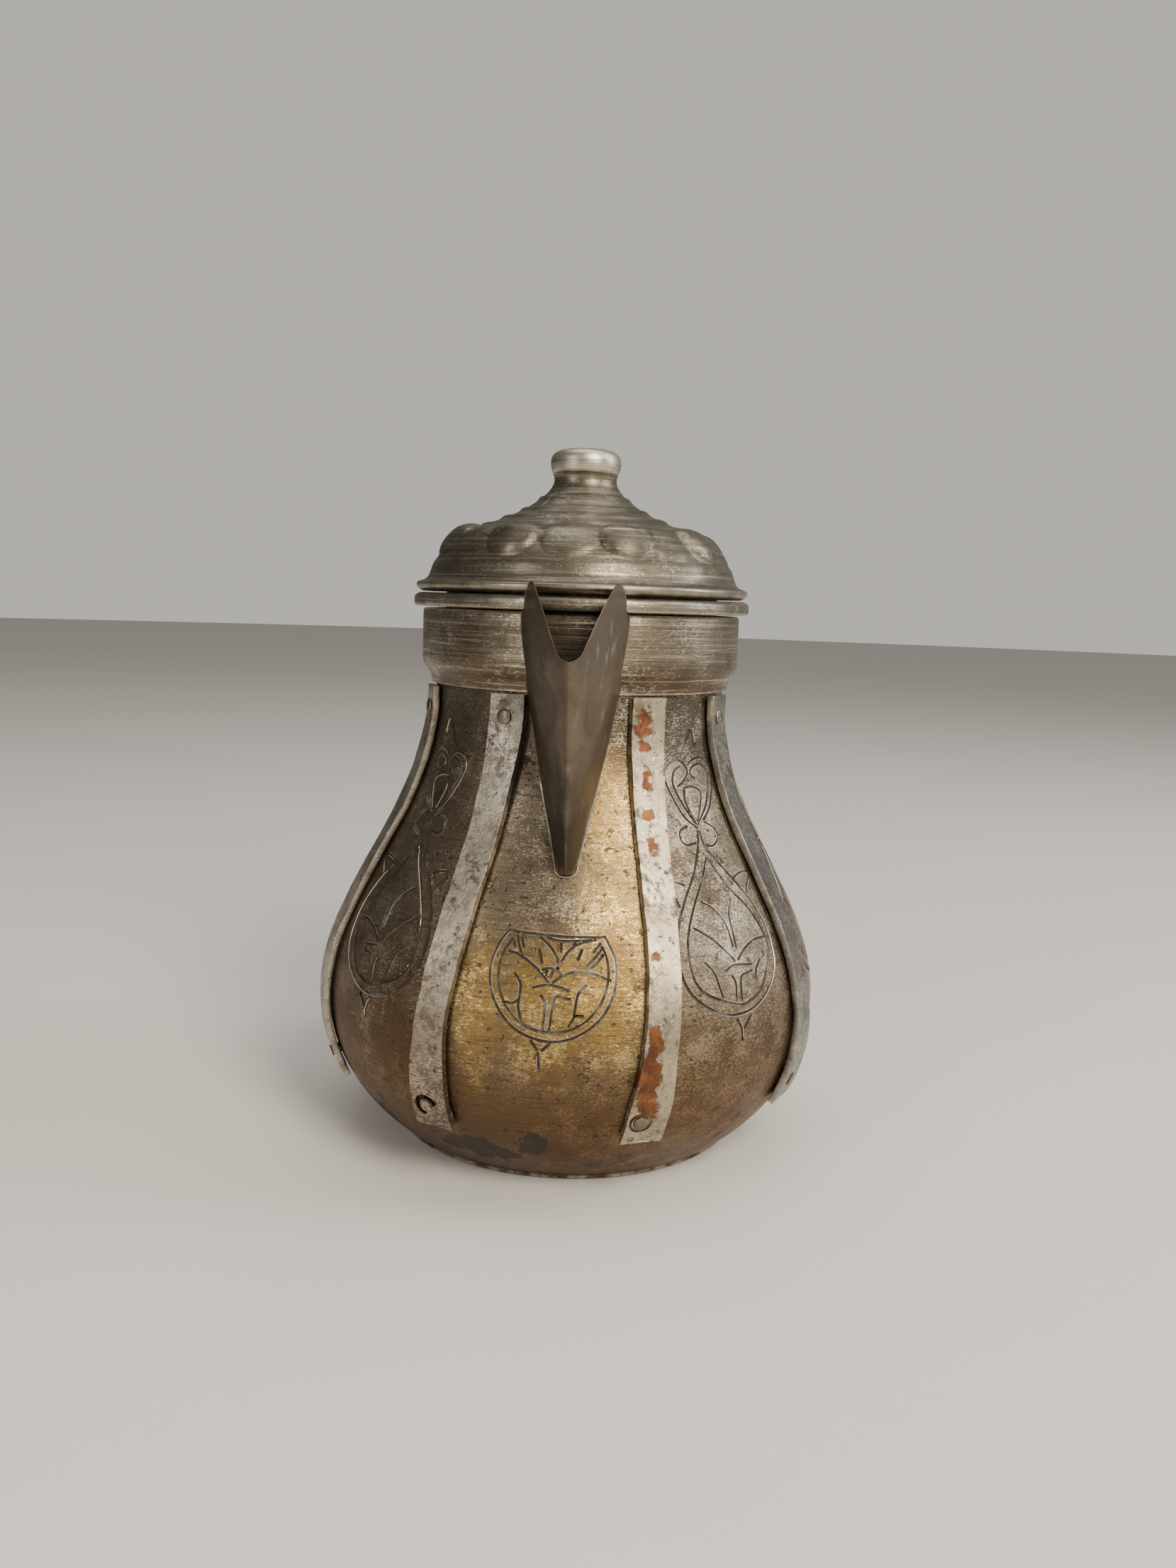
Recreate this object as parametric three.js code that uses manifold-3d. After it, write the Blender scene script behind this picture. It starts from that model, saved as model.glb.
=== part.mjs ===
// A hand-made copper coffee pot: pear-shaped body, folded beak, eight riveted ribs and a hinged lid.
// Millimetres, +Z up. The pot stands on the XY plane with its axis on Z; the beak points to -Y
// and the handle to +Y. Azimuths are measured from the beak, growing towards +X.

import * as THREE from 'three';
import { mergeVertices } from 'three/addons/utils/BufferGeometryUtils.js';
import Module from 'manifold-3d';

const wasm = await Module();
wasm.setup();

// ---------------------------------------------------------------- driving dimensions

const seam = 0.3;              // space left between pieces that touch
const round = 36;              // sides of the big turned pieces
const knobRound = 18;
const smallRound = 8;         // sides of rivets, pins and their holes
const footSteps = 7;           // points along the foot curve
const shoulderSteps = 10;      // points along the shoulder curve
const roomSteps = 22;          // points along the body where other pieces are cut clear of it

// Body
const footRadius = 52.5;
const footRing = 1.2;          // height of the upright edge at the foot
const footFlare = 7.5;         // how far the foot curve leans outwards
const bellyRadius = 74.8;
const bellyHeight = 42;
const neckRadius = 43.5;
const neckHeight = 128;        // where the neck turns upright
const mouthHeight = 156.7;
const wall = 1.5;
const mouthRadius = neckRadius - wall;

// Base plate
const plateThickness = 1.5;
const plateRim = 5;
const plateRimThickness = 1.2;

// Collar and rim
const collarStand = 4;          // how far it stands out from the neck
const collarRadius = neckRadius + collarStand;
const collarHeight = 21.9;
const collarBottom = mouthHeight - collarHeight;
const collarShoulder = 7.2;
const rimOverhang = 2.6;
const rimRadius = collarRadius + rimOverhang;
const rimThickness = 4;
const rimChamfer = 1;
const rimBottom = mouthHeight + seam;
const rimTop = rimBottom + rimThickness;

// Lid
const brimRadius = rimRadius - 0.5;
const brimHeight = 2.9;
const lidShoulderRadius = brimRadius - 4.4;
const lidShoulderHeight = 7;
const lidBreakRadius = lidShoulderRadius - 11.7;   // where the domed shoulder meets the hollow cone
const lidBreakHeight = 18.5;
const lidTopRadius = 9.2;
const lidTopHeight = 35.6;
const lidWall = 1.2;
const sleeveRadius = mouthRadius - 1.4;
const sleeveDepth = 7;
const sleeveThickness = 1.2;

// Knob
const knobRadius = 10.5;
const knobHeight = 7.3;
const shankRadius = 3;
const shankHole = shankRadius + seam;
const peenRadius = 4.4;
const washerRadius = 6.2;
const washerThickness = 1;

// Beak
const beakFoot = 88;           // height of the beak's lower point on the body
const beakReach = 78.2;          // how far its pouring lip stands from the axis
const beakLipDrop = 11.8;
const beakLip = mouthHeight - beakLipDrop;
const beakHornRise = 3.6;      // how far its two upper corners stand above the rim
const beakHorn = rimTop + beakHornRise;
const beakHalfWidth = 15.2;
const beakHornHalfWidth = 14.9;
const beakRootInset = 2.6;     // how much narrower it is beside the tops of the ribs
const beakFootHalfWidth = 2.4;
const beakFold = 1.35;         // 1 is a sharp fold, 2 a round one
const beakWall = 1.5;
const strainerHole = 1.7;
const strainerPitch = 6.4;
const strainerLow = 108;
const strainerRows = [1, 2, 3, 4];

// Ribs and rivets
const ribThickness = 2;
const ribTop = collarBottom - 0.6;
const ribBottom = 19.5;
const ribEndWidth = 10.6;
const ribWaistWidth = 9.2;
const ribFootWidth = 11.6;
const ribRivetInset = 6.5;
const ribSteps = 14;
// The azimuth at which a rib's top clears the beak's root by a gap.
function besideBeak(gap) {
  const root = beakHalfWidth - beakRootInset + gap;
  return THREE.MathUtils.radToDeg(Math.asin(root / neckRadius) + Math.asin(ribEndWidth / 2 / neckRadius));
}
const ribBeakGap = { right: 1.6, left: 0.2 };   // between the beak and the front ribs, at their tops
const ribs = [
  { name: 'front_right', top: besideBeak(ribBeakGap.right), bottom: 16.8 },
  { name: 'side_right', top: 64.5, bottom: 62.5 },
  { name: 'rear_side_right', top: 110, bottom: 109 },
  { name: 'back_right', top: 154, bottom: 154.5 },
  { name: 'back_left', top: 205, bottom: 204 },
  { name: 'rear_side_left', top: 247, bottom: 248 },
  { name: 'side_left', top: 289, bottom: 291 },
  { name: 'front_left', top: 360 - besideBeak(ribBeakGap.left), bottom: 331.5 },
];
const rivetRadius = 1.6;
const rivetHead = 2.7;
const rivetHeadHeight = 1.2;
const rivetPeen = 2.5;
const rivetPeenHeight = 0.9;
const rivetHole = rivetRadius + seam;

// Hinge
const pinRadius = 1.5;
const pinHole = pinRadius + seam;
const knuckleRadius = 3.1;
const knuckleMiddle = 5;
const knuckleSide = 4;
const leafThickness = 1.5;
const leafGap = 0.6;           // between the rim and the leaf that passes it
const hingeRivetSpacing = 7;
const pinHead = 2.4;
const pinHeadLength = 1;

// Handle
const handleWidth = 11;
const handleThickness = 6;
const palmWidth = 14;
const palmThickness = 2.5;
const palmTop = collarBottom - 0.8;
const palmTopFoot = palmTop - 27;
const palmLow = 38;
const palmLowTop = 62;
const palmRivetInset = 4.5;     // from a palm's free end to its first rivet
const palmRivetPitch = 9;
const handleReach = 103;
const handleCrown = mouthHeight - 8.2;

// ---------------------------------------------------------------- finishes

const finish = (color, roughness, metalness = 0.9) =>
  () => new THREE.MeshStandardMaterial({ color, roughness, metalness });
const agedTin = finish(0x8c8474, 0.42);
const wornTin = finish(0xa29c92, 0.36);
const darkCopper = finish(0x4a4038, 0.5);
const lidTin = finish(0x9a9386, 0.38);
const rivetCopper = finish(0x7d6a58, 0.45);

// ---------------------------------------------------------------- making solids

const group = new THREE.Group();
group.name = 'coffee_pot';

function signedVolume(positions, index) {
  const [a, b, c] = [new THREE.Vector3(), new THREE.Vector3(), new THREE.Vector3()];
  let sum = 0;
  for (let i = 0; i < index.length; i += 3) {
    a.fromArray(positions, 3 * index[i]);
    b.fromArray(positions, 3 * index[i + 1]);
    c.fromArray(positions, 3 * index[i + 2]);
    sum += a.dot(b.cross(c)) / 6;
  }
  return sum;
}

// Merge coincident points, drop collapsed triangles and turn the faces outwards.
function solid(geometry) {
  const bare = new THREE.BufferGeometry();
  bare.setAttribute('position', geometry.getAttribute('position').clone());
  if (geometry.index) bare.setIndex(geometry.index.clone());
  const merged = mergeVertices(bare, 1e-4);
  const positions = merged.getAttribute('position').array;
  const index = merged.index.array;
  const kept = [];
  for (let i = 0; i < index.length; i += 3) {
    const [a, b, c] = [index[i], index[i + 1], index[i + 2]];
    if (a !== b && b !== c && c !== a) kept.push(a, b, c);
  }
  if (signedVolume(positions, kept) < 0) kept.reverse();
  return new wasm.Manifold(new wasm.Mesh({
    numProp: 3,
    vertProperties: new Float32Array(positions),
    triVerts: new Uint32Array(kept),
  }));
}

function toGeometry(manifold) {
  const mesh = manifold.getMesh();
  const geometry = new THREE.BufferGeometry();
  geometry.setAttribute('position', new THREE.BufferAttribute(mesh.vertProperties, 3));
  geometry.setIndex(new THREE.BufferAttribute(mesh.triVerts, 1));
  geometry.computeVertexNormals();
  return geometry;
}

function add(name, manifold, material) {
  const mesh = new THREE.Mesh(toGeometry(manifold), material());
  mesh.name = name;
  group.add(mesh);
}

const cutAll = (piece, cutters) => cutters.reduce((left, cutter) => left.subtract(cutter), piece);

const v2 = (x, y) => new THREE.Vector2(x, y);

// Turn a profile of (radius, height) points round the Z axis.
function turned(profile, sides = round) {
  return solid(new THREE.LatheGeometry(profile, sides).rotateX(Math.PI / 2));
}

const ringProfile = (points) => [...points, points[0].clone()];

// Skin a row of rings, all with the same number of points, and cap both ends.
function lofted(rings) {
  const count = rings[0].length;
  const positions = [];
  const index = [];
  for (const ring of rings) for (const p of ring) positions.push(p.x, p.y, p.z);
  for (let i = 0; i < rings.length - 1; i++) {
    for (let j = 0; j < count; j++) {
      const k = (j + 1) % count;
      const [a, b, c, d] = [i * count + j, i * count + k, (i + 1) * count + k, (i + 1) * count + j];
      index.push(a, b, c, a, c, d);
    }
  }
  const last = (rings.length - 1) * count;
  for (let j = 1; j < count - 1; j++) {
    index.push(0, j + 1, j);
    index.push(last, last + j, last + j + 1);
  }
  const geometry = new THREE.BufferGeometry();
  geometry.setAttribute('position', new THREE.Float32BufferAttribute(positions, 3));
  geometry.setIndex(index);
  return solid(geometry);
}

// Directions at an azimuth: away from the axis, up, and across.
function directions(azimuth) {
  const angle = THREE.MathUtils.degToRad(azimuth);
  const away = new THREE.Vector3(Math.sin(angle), -Math.cos(angle), 0);
  const up = new THREE.Vector3(0, 0, 1);
  return { away, up, across: away.clone().cross(up) };
}

// Extrude a side outline of (radius, height) points across an azimuth, centred on it.
// widthAt and azimuthAt may vary with height.
function slab(outline, widthAt, azimuthAt) {
  const geometry = new THREE.ExtrudeGeometry(new THREE.Shape(outline), {
    depth: 1, bevelEnabled: false, steps: 1,
  }).translate(0, 0, -0.5);
  const position = geometry.getAttribute('position');
  for (let i = 0; i < position.count; i++) {
    const [radius, height, side] = [position.getX(i), position.getY(i), position.getZ(i)];
    const { away, across } = directions(azimuthAt(height));
    const point = away.multiplyScalar(radius).addScaledVector(across, side * widthAt(height));
    position.setXYZ(i, point.x, point.y, height);
  }
  return solid(geometry);
}

// Place a piece made along +Z so that its foot is at a profile point and it leaves along the normal.
function standing(piece, foot, normal, azimuth, aside = 0) {
  const { away, up, across } = directions(azimuth);
  const out = away.clone().multiplyScalar(normal.x).addScaledVector(up, normal.y);
  const side = across.clone();
  const other = out.clone().cross(side);
  const at = away.multiplyScalar(foot.x).addScaledVector(up, foot.y).addScaledVector(across, aside);
  const matrix = new THREE.Matrix4().makeBasis(side, other, out).setPosition(at);
  return piece.transform(matrix.elements);
}

// ---------------------------------------------------------------- profiles

const upperFoot = new THREE.CubicBezierCurve(
  v2(footRadius, footRing), v2(footRadius + footFlare, footRing + 5.8),
  v2(bellyRadius, bellyHeight - 22), v2(bellyRadius, bellyHeight),
);
const shoulder = new THREE.CubicBezierCurve(
  v2(bellyRadius, bellyHeight), v2(bellyRadius, bellyHeight + 31),
  v2(neckRadius + 3, neckHeight - 35), v2(neckRadius, neckHeight),
);
const fineProfile = [
  ...upperFoot.getPoints(60), ...shoulder.getPoints(120).slice(1), v2(neckRadius, mouthHeight),
];

// The point of the body's outer profile at a height, with its outward normal.
function bodyAt(height) {
  let i = fineProfile.findIndex((p) => p.y >= height);
  i = Math.max(1, i);
  const [low, high] = [fineProfile[i - 1], fineProfile[i]];
  const share = (height - low.y) / (high.y - low.y);
  const along = high.clone().sub(low).normalize();
  return { point: low.clone().lerp(high, share), normal: v2(along.y, -along.x) };
}

// A line that follows the body between two heights at a distance from its outer surface.
function alongBody(from, to, distance, steps) {
  const line = [];
  for (let i = 0; i <= steps; i++) {
    const { point, normal } = bodyAt(from + ((to - from) * i) / steps);
    line.push(point.addScaledVector(normal, distance));
  }
  return line;
}

function shifted(points, distance) {
  return points.map((p, i) => {
    const before = points[Math.max(0, i - 1)];
    const after = points[Math.min(points.length - 1, i + 1)];
    const along = after.clone().sub(before).normalize();
    return p.clone().add(v2(along.y, -along.x).multiplyScalar(distance));
  });
}

// ---------------------------------------------------------------- rivets

// A rivet through a stack of a given thickness. Its foot is at the outside of the inner wall.
function rivetSolid(inside, outside) {
  const low = -inside - seam - facetDepth;
  const high = outside + seam;
  return turned([
    v2(0, low - rivetPeenHeight), v2(rivetPeen, low - 0.6 * rivetPeenHeight), v2(rivetPeen, low),
    v2(rivetRadius, low), v2(rivetRadius, high), v2(rivetHead, high),
    v2(0.95 * rivetHead, high + 0.4 * rivetHeadHeight), v2(0.6 * rivetHead, high + 0.85 * rivetHeadHeight),
    v2(0, high + rivetHeadHeight),
  ], smallRound);
}

function rivetDrill(inside, outside) {
  const length = inside + outside + 6;
  const bore = new THREE.CylinderGeometry(rivetHole, rivetHole, length, smallRound);
  return solid(bore.rotateX(Math.PI / 2).translate(0, 0, (outside - inside) / 2));
}

// How far the flats of the turned wall stand inside its true circle.
const facetDepth = bellyRadius * (1 - Math.cos(Math.PI / round));
const bodyDrills = [];

// ---------------------------------------------------------------- ribs

function ribAzimuth(rib, height) {
  return rib.top + ((rib.bottom - rib.top) * (ribTop - height)) / (ribTop - ribBottom);
}

function ribWidth(height) {
  const share = (height - ribBottom) / (ribTop - ribBottom);
  const end = share < 0.5 ? ribFootWidth : ribEndWidth;
  return ribWaistWidth + (end - ribWaistWidth) * (2 * share - 1) ** 4;
}

const ribOutline = [
  ...alongBody(ribBottom, ribTop, seam, ribSteps),
  ...alongBody(ribBottom, ribTop, seam + ribThickness, ribSteps).reverse(),
];
const ribRivetHeights = { top: ribTop - ribRivetInset, bottom: ribBottom + ribRivetInset };

for (const rib of ribs) {
  const drills = [];
  for (const [end, height] of Object.entries(ribRivetHeights)) {
    const { point, normal } = bodyAt(height);
    const azimuth = ribAzimuth(rib, height);
    const outside = seam + ribThickness;
    drills.push(standing(rivetDrill(wall, outside), point, normal, azimuth));
    const rivet = standing(rivetSolid(wall, outside), point, normal, azimuth);
    add(`rib_rivet_${end}_${rib.name}`, rivet, rivetCopper);
  }
  const band = slab(ribOutline, ribWidth, (height) => ribAzimuth(rib, height));
  add(`rib_${rib.name}`, cutAll(band, drills), wornTin);
  bodyDrills.push(...drills);
}

// ---------------------------------------------------------------- collar and rim

const collarInner = neckRadius + seam;
const collarFoot = collarInner + 0.8;
const collarCurve = new THREE.CubicBezierCurve(
  v2(collarFoot, collarBottom), v2(collarFoot + 0.2, collarBottom + 0.55 * collarShoulder),
  v2(collarRadius - 0.2, collarBottom + 0.55 * collarShoulder),
  v2(collarRadius, collarBottom + collarShoulder),
);
const collarSolid = turned(ringProfile([
  v2(collarInner, collarBottom), ...collarCurve.getPoints(6),
  v2(collarRadius, mouthHeight), v2(collarInner, mouthHeight),
]));

add('rim_ring', turned(ringProfile([
  v2(mouthRadius, rimBottom), v2(rimRadius - rimChamfer, rimBottom),
  v2(rimRadius, rimBottom + rimChamfer), v2(rimRadius, rimTop - rimChamfer),
  v2(rimRadius - rimChamfer, rimTop), v2(mouthRadius, rimTop),
])), wornTin);

// ---------------------------------------------------------------- lid

const lidBase = rimTop + seam;
const brimMiddle = lidBase + 0.72 * brimHeight;
const brimInner = brimRadius - 3.4;
const lidCurve = [
  v2(brimRadius - 2.2, lidBase),
  v2(brimRadius - 0.2, lidBase + 0.45 * brimHeight), v2(brimRadius, brimMiddle),
  v2(brimRadius - 0.4, lidBase + brimHeight),
  ...new THREE.QuadraticBezierCurve(
    v2(brimRadius - 0.8, lidBase + brimHeight + 0.1),
    v2(lidShoulderRadius + 0.7, lidBase + brimHeight + 1),
    v2(lidShoulderRadius, lidBase + lidShoulderHeight),
  ).getPoints(3),
  ...new THREE.CubicBezierCurve(
    v2(lidShoulderRadius, lidBase + lidShoulderHeight),
    v2(lidShoulderRadius - 0.6, lidBase + lidShoulderHeight + 4.2),
    v2(lidBreakRadius + 7, lidBase + lidBreakHeight - 2), v2(lidBreakRadius, lidBase + lidBreakHeight),
  ).getPoints(5).slice(1),
  ...new THREE.CubicBezierCurve(
    v2(lidBreakRadius, lidBase + lidBreakHeight),
    v2(lidBreakRadius - 11.5, lidBase + lidBreakHeight + 3.4),
    v2(lidTopRadius + 2.8, lidBase + lidTopHeight - 9), v2(lidTopRadius, lidBase + lidTopHeight),
  ).getPoints(6).slice(1),
];
const lidTop = lidBase + lidTopHeight;
const lidInside = shifted(lidCurve.slice(4, -1), -lidWall);
const lidProfile = ringProfile([
  ...lidCurve, v2(shankHole, lidTop), v2(shankHole, lidTop - lidWall),
  v2(lidTopRadius - lidWall, lidTop - lidWall), ...lidInside.reverse(),
  v2(brimInner, lidBase + brimHeight - lidWall), v2(brimInner, lidBase),
]);

// The point of the lid's outer profile at a height, with its outward normal.
function lidAt(height) {
  const i = lidCurve.findIndex((p) => p.y >= height);
  const [low, high] = [lidCurve[i - 1], lidCurve[i]];
  const share = (height - low.y) / (high.y - low.y);
  const along = high.clone().sub(low).normalize();
  return { point: low.clone().lerp(high, share), normal: v2(along.y, -along.x) };
}

const sleeveTop = lidBase + sleeveThickness;
const sleeveFlange = brimInner - seam;
add('lid_sleeve', turned(ringProfile([
  v2(sleeveRadius - sleeveThickness, rimTop - sleeveDepth), v2(sleeveRadius, rimTop - sleeveDepth),
  v2(sleeveRadius, lidBase), v2(sleeveFlange, lidBase), v2(sleeveFlange, sleeveTop),
  v2(sleeveRadius - sleeveThickness, sleeveTop),
])), lidTin);

// ---------------------------------------------------------------- knob

const knobSeat = lidTop + seam;
const washerTop = lidTop - lidWall - seam;
const washerBottom = washerTop - washerThickness;
const peenTop = washerBottom - seam;
const headCurve = new THREE.CubicBezierCurve(
  v2(knobRadius, knobSeat + 0.42 * knobHeight), v2(knobRadius - 0.3, knobSeat + 0.8 * knobHeight),
  v2(0.55 * knobRadius, knobSeat + knobHeight), v2(0, knobSeat + knobHeight),
);
add('knob', turned([
  v2(0, peenTop - 1), v2(peenRadius, peenTop - 0.7), v2(peenRadius, peenTop), v2(shankRadius, peenTop),
  v2(shankRadius, knobSeat), v2(knobRadius - 1.1, knobSeat), v2(knobRadius - 0.2, knobSeat + 1),
  ...headCurve.getPoints(6),
], knobRound), lidTin);
add('knob_washer', turned(ringProfile([
  v2(shankHole, washerBottom), v2(washerRadius, washerBottom),
  v2(washerRadius, washerTop), v2(shankHole, washerTop),
]), knobRound), rivetCopper);

// ---------------------------------------------------------------- hinge

const pinReach = rimRadius + leafGap + knuckleRadius + 0.3;
const pinHeight = rimTop + 4;
const hingeSpan = knuckleMiddle + 2 * (knuckleSide + seam);
const back = 180;

function circleOutline(radius, at, sides = smallRound * 2) {
  const points = [];
  for (let i = 0; i < sides; i++) {
    const angle = (2 * Math.PI * i) / sides;
    points.push(v2(at.x + radius * Math.cos(angle), at.y + radius * Math.sin(angle)));
  }
  return points;
}

const rectangle = (x0, x1, y0, y1) => [v2(x0, y0), v2(x1, y0), v2(x1, y1), v2(x0, y1)];
const constant = (value) => () => value;
const acrossBack = (outline, width) => slab(outline, constant(width), constant(back));

const pinAxis = v2(pinReach, pinHeight);
const pinBore = acrossBack(circleOutline(pinHole, pinAxis, smallRound), hingeSpan + 10);
const knuckleSweep = circleOutline(knuckleRadius + seam, pinAxis);

// The leaf on the collar rises behind the rim and carries the two outer knuckles.
const bodyLeafFoot = collarBottom + collarShoulder;
const leafFace = collarRadius + seam;
const leafPass = rimRadius + leafGap;
const bodyLeafOutline = [
  v2(leafFace, bodyLeafFoot), v2(leafFace + leafThickness, bodyLeafFoot),
  v2(leafFace + leafThickness, rimBottom - 3), v2(leafPass + leafThickness, rimBottom - 0.5),
  v2(leafPass + leafThickness, pinHeight), v2(leafPass, pinHeight),
  v2(leafPass, rimBottom - 0.2), v2(leafFace, rimBottom - 2.4),
];
const middleSlot = acrossBack(
  rectangle(leafPass - 2, pinReach + knuckleRadius + 2, rimTop - 0.6, pinHeight + knuckleRadius + 2),
  knuckleMiddle + 2 * seam,
);
const bodyLeaf = acrossBack(bodyLeafOutline, hingeSpan)
  .add(acrossBack(circleOutline(knuckleRadius, pinAxis), hingeSpan))
  .subtract(middleSlot)
  .subtract(pinBore);

// The leaf on the lid hugs the lid's shoulder and carries the middle knuckle.
const lidLeafLow = lidBase + lidShoulderHeight + 0.6;
const lidLeafHigh = lidLeafLow + 5.6;
const leafRest = 0.5;
const lidLeafInner = [];
const lidLeafOuter = [];
for (const height of [lidLeafLow, (lidLeafLow + lidLeafHigh) / 2, lidLeafHigh]) {
  const { point, normal } = lidAt(height);
  lidLeafInner.push(point.clone().addScaledVector(normal, leafRest));
  lidLeafOuter.push(point.clone().addScaledVector(normal, leafRest + leafThickness));
}
const bridgeHeight = pinHeight + knuckleRadius;
const lidLeafOutline = [
  v2(pinReach, bridgeHeight - leafThickness), v2(pinReach, bridgeHeight),
  v2(lidLeafOuter[0].x + 1.2, bridgeHeight), ...lidLeafOuter, ...lidLeafInner.reverse(),
  v2(lidShoulderRadius + 1.4, bridgeHeight - leafThickness),
];
const bodyKnuckleRoom = acrossBack(knuckleSweep, hingeSpan + 2)
  .subtract(acrossBack(knuckleSweep, knuckleMiddle));
const lidLeaf = acrossBack(lidLeafOutline, hingeSpan)
  .subtract(bodyKnuckleRoom)
  .add(acrossBack(circleOutline(knuckleRadius, pinAxis), knuckleMiddle))
  .subtract(pinBore);

const hingeEnd = hingeSpan / 2 + seam;
const pin = turned([
  v2(0, -hingeEnd - pinHeadLength), v2(pinHead, -hingeEnd - pinHeadLength), v2(pinHead, -hingeEnd),
  v2(pinRadius, -hingeEnd), v2(pinRadius, hingeEnd), v2(pinHead, hingeEnd),
  v2(pinHead, hingeEnd + pinHeadLength), v2(0, hingeEnd + pinHeadLength),
], smallRound).rotate([0, 90, 0]).translate([0, pinReach, pinHeight]);
add('hinge_pin', pin, rivetCopper);

const lidRivetHeight = (lidLeafLow + lidLeafHigh) / 2 + 0.6;
const bodyRivetHeight = bodyLeafFoot + 6;
const collarDrills = [];
const bodyLeafDrills = [];
const lidLeafDrills = [];
for (const [name, aside] of [['right', -hingeRivetSpacing / 2], ['left', hingeRivetSpacing / 2]]) {
  const lidSpot = lidAt(lidRivetHeight);
  const lidStack = leafRest + leafThickness;
  lidLeafDrills.push(standing(rivetDrill(lidWall, lidStack), lidSpot.point, lidSpot.normal, back, aside));
  const lidRivet = rivetSolid(lidWall + 0.3, lidStack);
  add(`hinge_lid_rivet_${name}`, standing(lidRivet, lidSpot.point, lidSpot.normal, back, aside), rivetCopper);

  const neckSpot = v2(neckRadius, bodyRivetHeight);
  const bodyStack = leafFace - neckRadius + leafThickness;
  bodyLeafDrills.push(standing(rivetDrill(wall, bodyStack), neckSpot, v2(1, 0), back, aside));
  const bodyRivet = rivetSolid(wall + 0.4, bodyStack);
  add(`hinge_body_rivet_${name}`, standing(bodyRivet, neckSpot, v2(1, 0), back, aside), rivetCopper);
}
collarDrills.push(...bodyLeafDrills);
bodyDrills.push(...bodyLeafDrills);
add('hinge_leaf_body', cutAll(bodyLeaf, bodyLeafDrills), rivetCopper);
add('hinge_leaf_lid', cutAll(lidLeaf, lidLeafDrills), rivetCopper);
add('lid_dome', cutAll(turned(lidProfile), lidLeafDrills), lidTin);
add('collar', cutAll(collarSolid, collarDrills), wornTin);

// ---------------------------------------------------------------- handle

const palmOutline = (from, to) => [
  ...alongBody(from, to, seam, 8), ...alongBody(from, to, seam + palmThickness, 8).reverse(),
];
const upperPalm = bodyAt(palmTop - 5).point.x + seam + palmThickness / 2;
const lowerPalm = bodyAt(palmLowTop - 7).point.x + seam + palmThickness / 2;
const handlePath = new THREE.CatmullRomCurve3([
  [upperPalm, palmTop - 7], [upperPalm + 6.5, palmTop + 2], [handleReach - 34, handleCrown - 2],
  [handleReach - 18, handleCrown], [handleReach - 5, handleCrown - 12], [handleReach, handleCrown - 30],
  [handleReach - 3.5, handleCrown - 51], [handleReach - 13, handleCrown - 70],
  [lowerPalm + 4.5, palmLowTop + 2], [lowerPalm + 0.6, palmLowTop - 7],
].map(([radius, height]) => new THREE.Vector3(0, radius, height)));

function handleBar() {
  const steps = 30;
  const sides = 10;
  const rings = [];
  for (let i = 0; i <= steps; i++) {
    const share = i / steps;
    const at = handlePath.getPointAt(share);
    const along = handlePath.getTangentAt(share);
    const out = new THREE.Vector3(0, -along.z, along.y);
    const flat = Math.min(1, 0.35 + 5 * Math.min(share, 1 - share));
    const ring = [];
    for (let j = 0; j < sides; j++) {
      const angle = (2 * Math.PI * j) / sides;
      const point = at.clone().addScaledVector(out, (flat * handleThickness * Math.cos(angle)) / 2);
      point.x += (handleWidth * Math.sin(angle)) / 2;
      ring.push(point);
    }
    rings.push(ring);
  }
  return lofted(rings);
}

const palmRivets = {
  upper_high: palmTopFoot + palmRivetInset + palmRivetPitch,
  upper_low: palmTopFoot + palmRivetInset,
  lower_high: palmLow + palmRivetInset + palmRivetPitch,
  lower_low: palmLow + palmRivetInset,
};

const bodyRoom = turned([
  v2(0, 0), v2(footRadius, 0), ...alongBody(footRing + 0.5, mouthHeight, seam, roomSteps),
  v2(0, mouthHeight),
]);
const palms = slab(palmOutline(palmTopFoot, palmTop), constant(palmWidth), constant(back))
  .add(slab(palmOutline(palmLow, palmLowTop), constant(palmWidth), constant(back)));
const palmDrills = [];
for (const [name, height] of Object.entries(palmRivets)) {
  const { point, normal } = bodyAt(height);
  const stack = seam + palmThickness;
  palmDrills.push(standing(rivetDrill(wall, stack), point, normal, back));
  add(`handle_rivet_${name}`, standing(rivetSolid(wall, stack), point, normal, back), rivetCopper);
}
const headRoom = (height) => {
  const { point, normal } = bodyAt(height);
  const bore = new THREE.CylinderGeometry(rivetHead + seam, rivetHead + seam, 8, smallRound);
  const room = solid(bore.rotateX(Math.PI / 2).translate(0, 0, seam + palmThickness + 4));
  return standing(room, point, normal, back);
};
const handle = handleBar().add(palms).subtract(bodyRoom);
add('handle', cutAll(handle, [...palmDrills, ...Object.values(palmRivets).map(headRoom)]), darkCopper);
bodyDrills.push(...palmDrills);

// ---------------------------------------------------------------- beak

const beakWidth = new THREE.SplineCurve([
  v2(beakFoot, beakFootHalfWidth), v2(beakFoot + 9, 4.4), v2(beakFoot + 19, 6.9),
  v2(beakFoot + 30, 9.4), v2(beakLip - 10, beakHalfWidth - beakRootInset),
  v2((beakLip + beakHorn) / 2 - 2, beakHalfWidth), v2(beakHorn + 1, beakHornHalfWidth),
]);
const beakCrease = new THREE.QuadraticBezierCurve(
  v2(bodyAt(beakFoot).point.x + 1.4, beakFoot), v2(beakReach - 6, beakFoot + 0.42 * (beakLip - beakFoot)),
  v2(beakReach, beakLip),
);

function creaseAt(height) {
  if (height >= beakLip) return beakReach;
  const points = beakCrease.getPoints(40);
  const i = Math.max(1, points.findIndex((p) => p.y >= height));
  const share = (height - points[i - 1].y) / (points[i].y - points[i - 1].y);
  return points[i - 1].x + share * (points[i].x - points[i - 1].x);
}

const insideBody = neckRadius - 14;

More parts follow.
